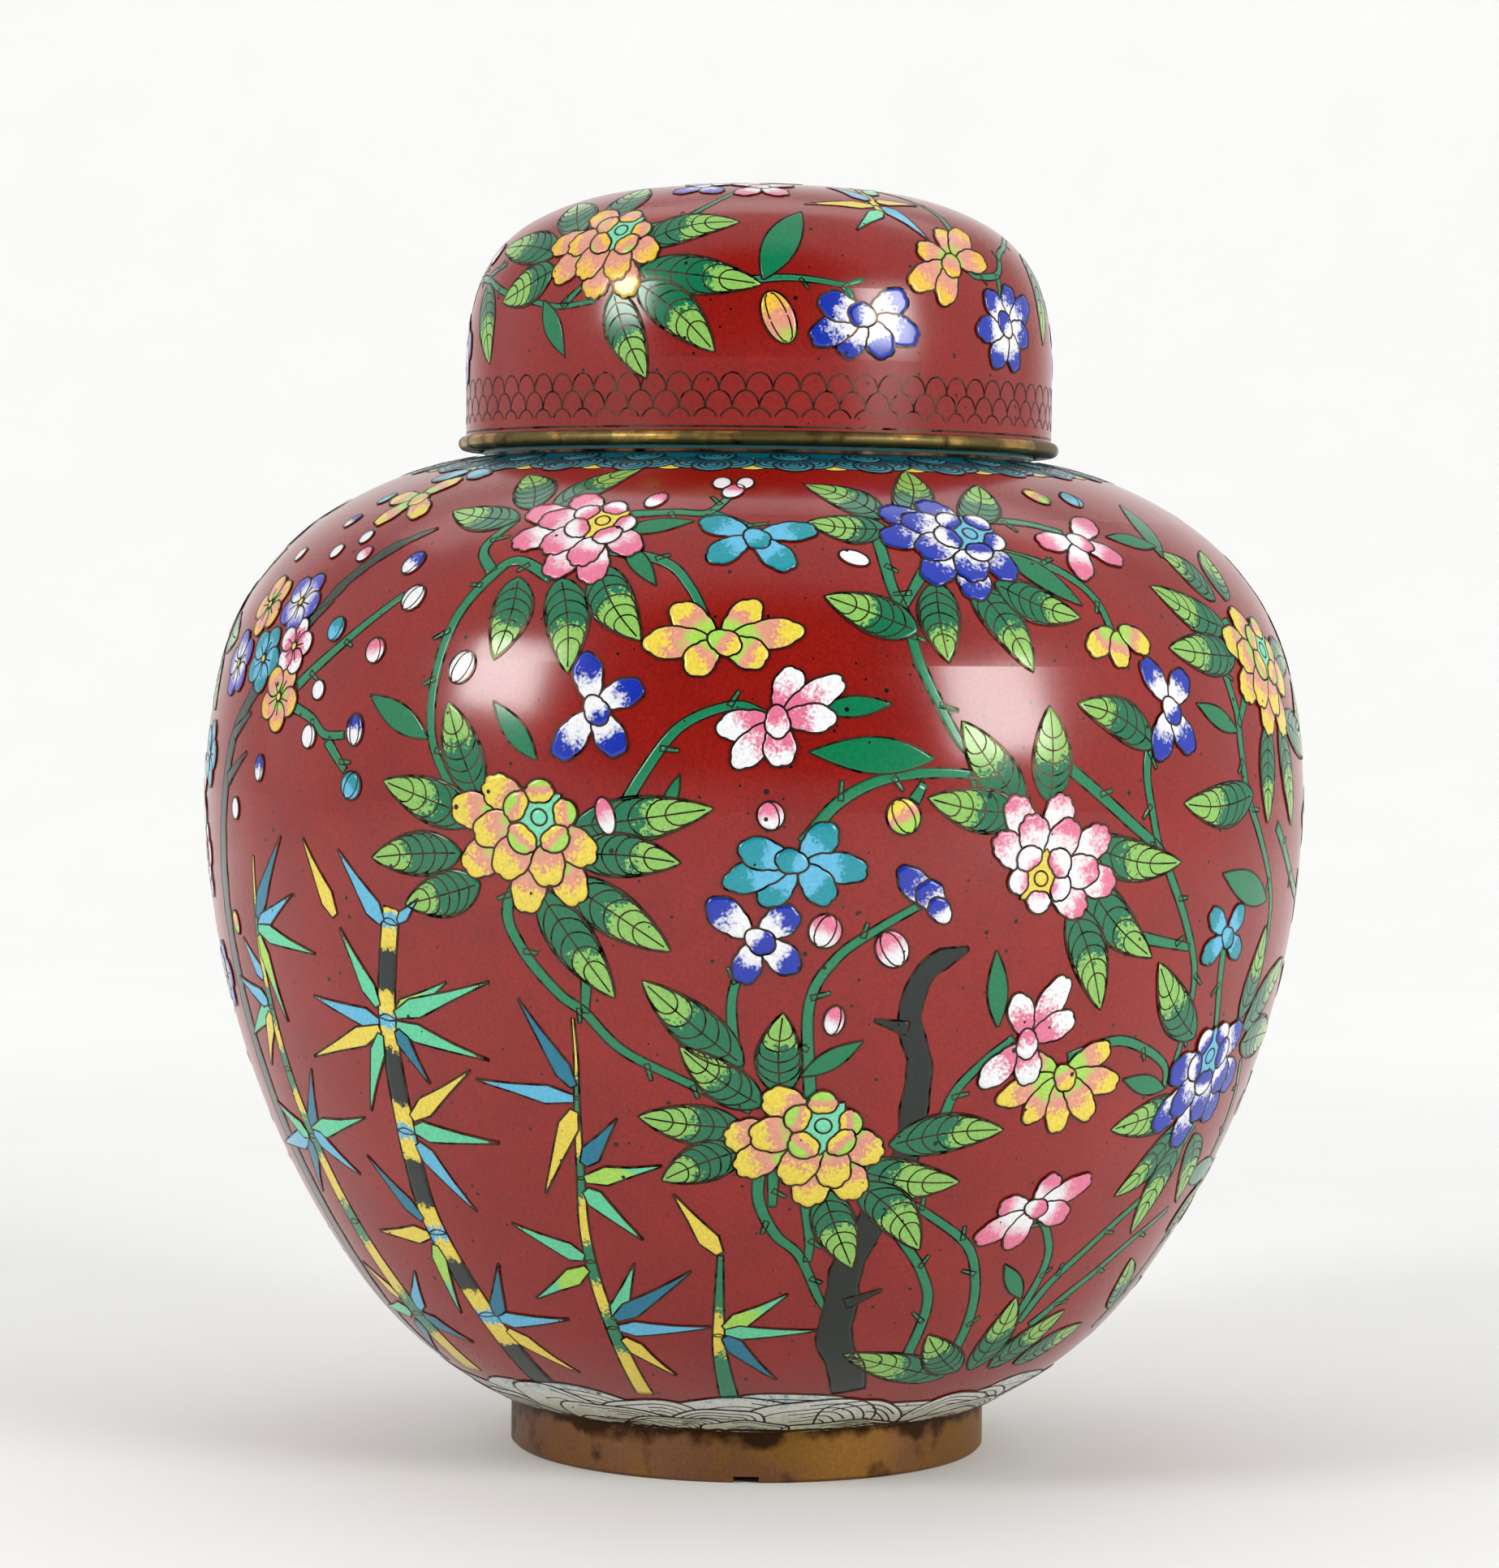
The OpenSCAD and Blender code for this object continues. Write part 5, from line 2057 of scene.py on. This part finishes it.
@dataclass(frozen=True)
class Studio:
    """The pale sweep, the soft lights and the camera."""

    distance: float = 0.85
    eye_height: float = 0.1562
    eye_aside: float = -0.0009
    pitch: float = 2.26
    roll: float = 0.7
    focal: float = 109.7
    sweep_half_width: float = 3.0
    sweep_front: float = -2.6
    sweep_bend: float = 1.1
    sweep_radius: float = 0.7
    sweep_top: float = 3.0
    world_strength: float = 0.8
    # The wall washes stand behind the jar and face away from it, so that it doesn't mirror them
    lights: tuple[Softbox, ...] = (
        Softbox("right_softbox", (1.16, -0.95, 0.66), (0.58, 0.56), 14.0),
        Softbox("left_softbox", (-1.23, -0.86, 0.84), (0.50, 0.50), 12.0),
        Softbox("left_wall_wash", (-0.75, 0.7, 0.7), (0.4, 0.9), 2.1, (-0.5, 1.8, 0.4)),
        Softbox("right_wall_wash", (0.75, 0.7, 0.7), (0.4, 0.9), 2.1, (0.5, 1.8, 0.4)),
        Softbox("floor_wash", (0.0, 0.95, 1.6), (2.4, 0.7), 5.0, (0.0, 1.0, 0.0)),
    )

    def build(self) -> None:
        """Set the scene."""
        self._sweep()
        self._world()
        for light in self.lights:
            light.hang()
        self._camera()

    def _sweep(self) -> None:
        """Make the paper sweep: a floor that curves up into a wall behind."""
        bend = np.linspace(0, math.pi / 2, 24)
        outline = [(self.sweep_front, 0.0)]
        outline += [
            (self.sweep_bend + self.sweep_radius * math.sin(t), self.sweep_radius * (1 - math.cos(t)))
            for t in bend
        ]
        outline.append((self.sweep_bend + self.sweep_radius, self.sweep_top))
        points = [(x, y, z) for y, z in outline for x in (-self.sweep_half_width, self.sweep_half_width)]
        faces = [(2 * i, 2 * i + 1, 2 * i + 3, 2 * i + 2) for i in range(len(outline) - 1)]
        mesh = bpy.data.meshes.new("paper_sweep")
        mesh.from_pydata(points, [], faces)
        mesh.polygons.foreach_set("use_smooth", [True] * len(faces))
        mesh.materials.append(Paper("matt_white_paper", "paper", Shade.FLOOR).material())
        sweep = bpy.data.objects.new("paper_sweep", mesh)
        bpy.context.scene.collection.objects.link(sweep)

    def _world(self) -> None:
        """Light the scene all round, softly, with a dim patch where the photographer stands."""
        world = bpy.data.worlds.new("light_tent")
        bpy.context.scene.world = world
        world.use_nodes = True
        graph = Graph(world.node_tree, "Generated")
        values = {"operation": "DOT_PRODUCT", 0: graph.coords, 1: (0.0, -0.9, 0.44)}
        front = graph.add_node("ShaderNodeVectorMath", values).outputs["Value"]
        height = graph.add_node("ShaderNodeSeparateXYZ", {"Vector": graph.coords}).outputs["Z"]
        # The patch fades in above the horizon, so that the floor's far edge shows no line
        across = graph.ranged(front, (0.62, 0.90), (0.0, 0.95), "SMOOTHSTEP")
        rise = graph.ranged(height, (0.0, 0.12), kind="SMOOTHSTEP")
        dim = graph.math("SUBTRACT", 1.0, graph.math("MULTIPLY", across, rise))
        strength = graph.math("MULTIPLY", dim, self.world_strength)
        values = {"Color": (1.0, 1.0, 1.0, 1.0), "Strength": strength}
        light = graph.add_node("ShaderNodeBackground", values)
        graph.add_node("ShaderNodeOutputWorld", {"Surface": light.outputs[0]})

    def _camera(self) -> None:
        """Place the camera, level with the jar's shoulder and very slightly rolled."""
        camera = bpy.data.cameras.new("camera")
        camera.sensor_fit = "HORIZONTAL"
        camera.sensor_width = 36.0
        camera.lens = self.focal
        eye = bpy.data.objects.new("camera", camera)
        tilt = Matrix.Rotation(math.radians(90 - self.pitch), 4, "X")
        roll = Matrix.Rotation(math.radians(self.roll), 4, "Z")
        place = Matrix.Translation((self.eye_aside, -self.distance, self.eye_height))
        eye.matrix_world = place @ tilt @ roll
        bpy.context.scene.collection.objects.link(eye)
        bpy.context.scene.camera = eye


def main() -> None:
    """Build the jar's looks in order, then the studio."""
    logging.basicConfig(level=logging.INFO, format="%(name)s %(message)s")
    bpy.context.scene.view_settings.view_transform = "Standard"
    Metalwork().dress()
    body = Skin("body_enamel", "wave_border", "wave_ring_wire", "shoulder_ring_wire", "shoulder_border")
    lid = Skin("lid_enamel", "lid_scale_band", "lid_ring_wire", "lid_edge_strip")
    Garden("front", "jar", body, 0.0, {}, BODY_PLANTS).build()
    Garden("back", "jar", body, 180.0, BACK_SWAPS, BODY_PLANTS).build()
    Garden("lid_front", "lid", lid, 0.0, {}, LID_PLANTS).build()
    Garden("lid_back", "lid", lid, 180.0, BACK_SWAPS, LID_PLANTS).build()
    CloudBorder().build(body)
    RockBand().build(body)
    FishScales().build(lid, "lid_scale_band")
    Crown().build(lid)
    Studio().build()


if __name__ == "__main__":
    main()
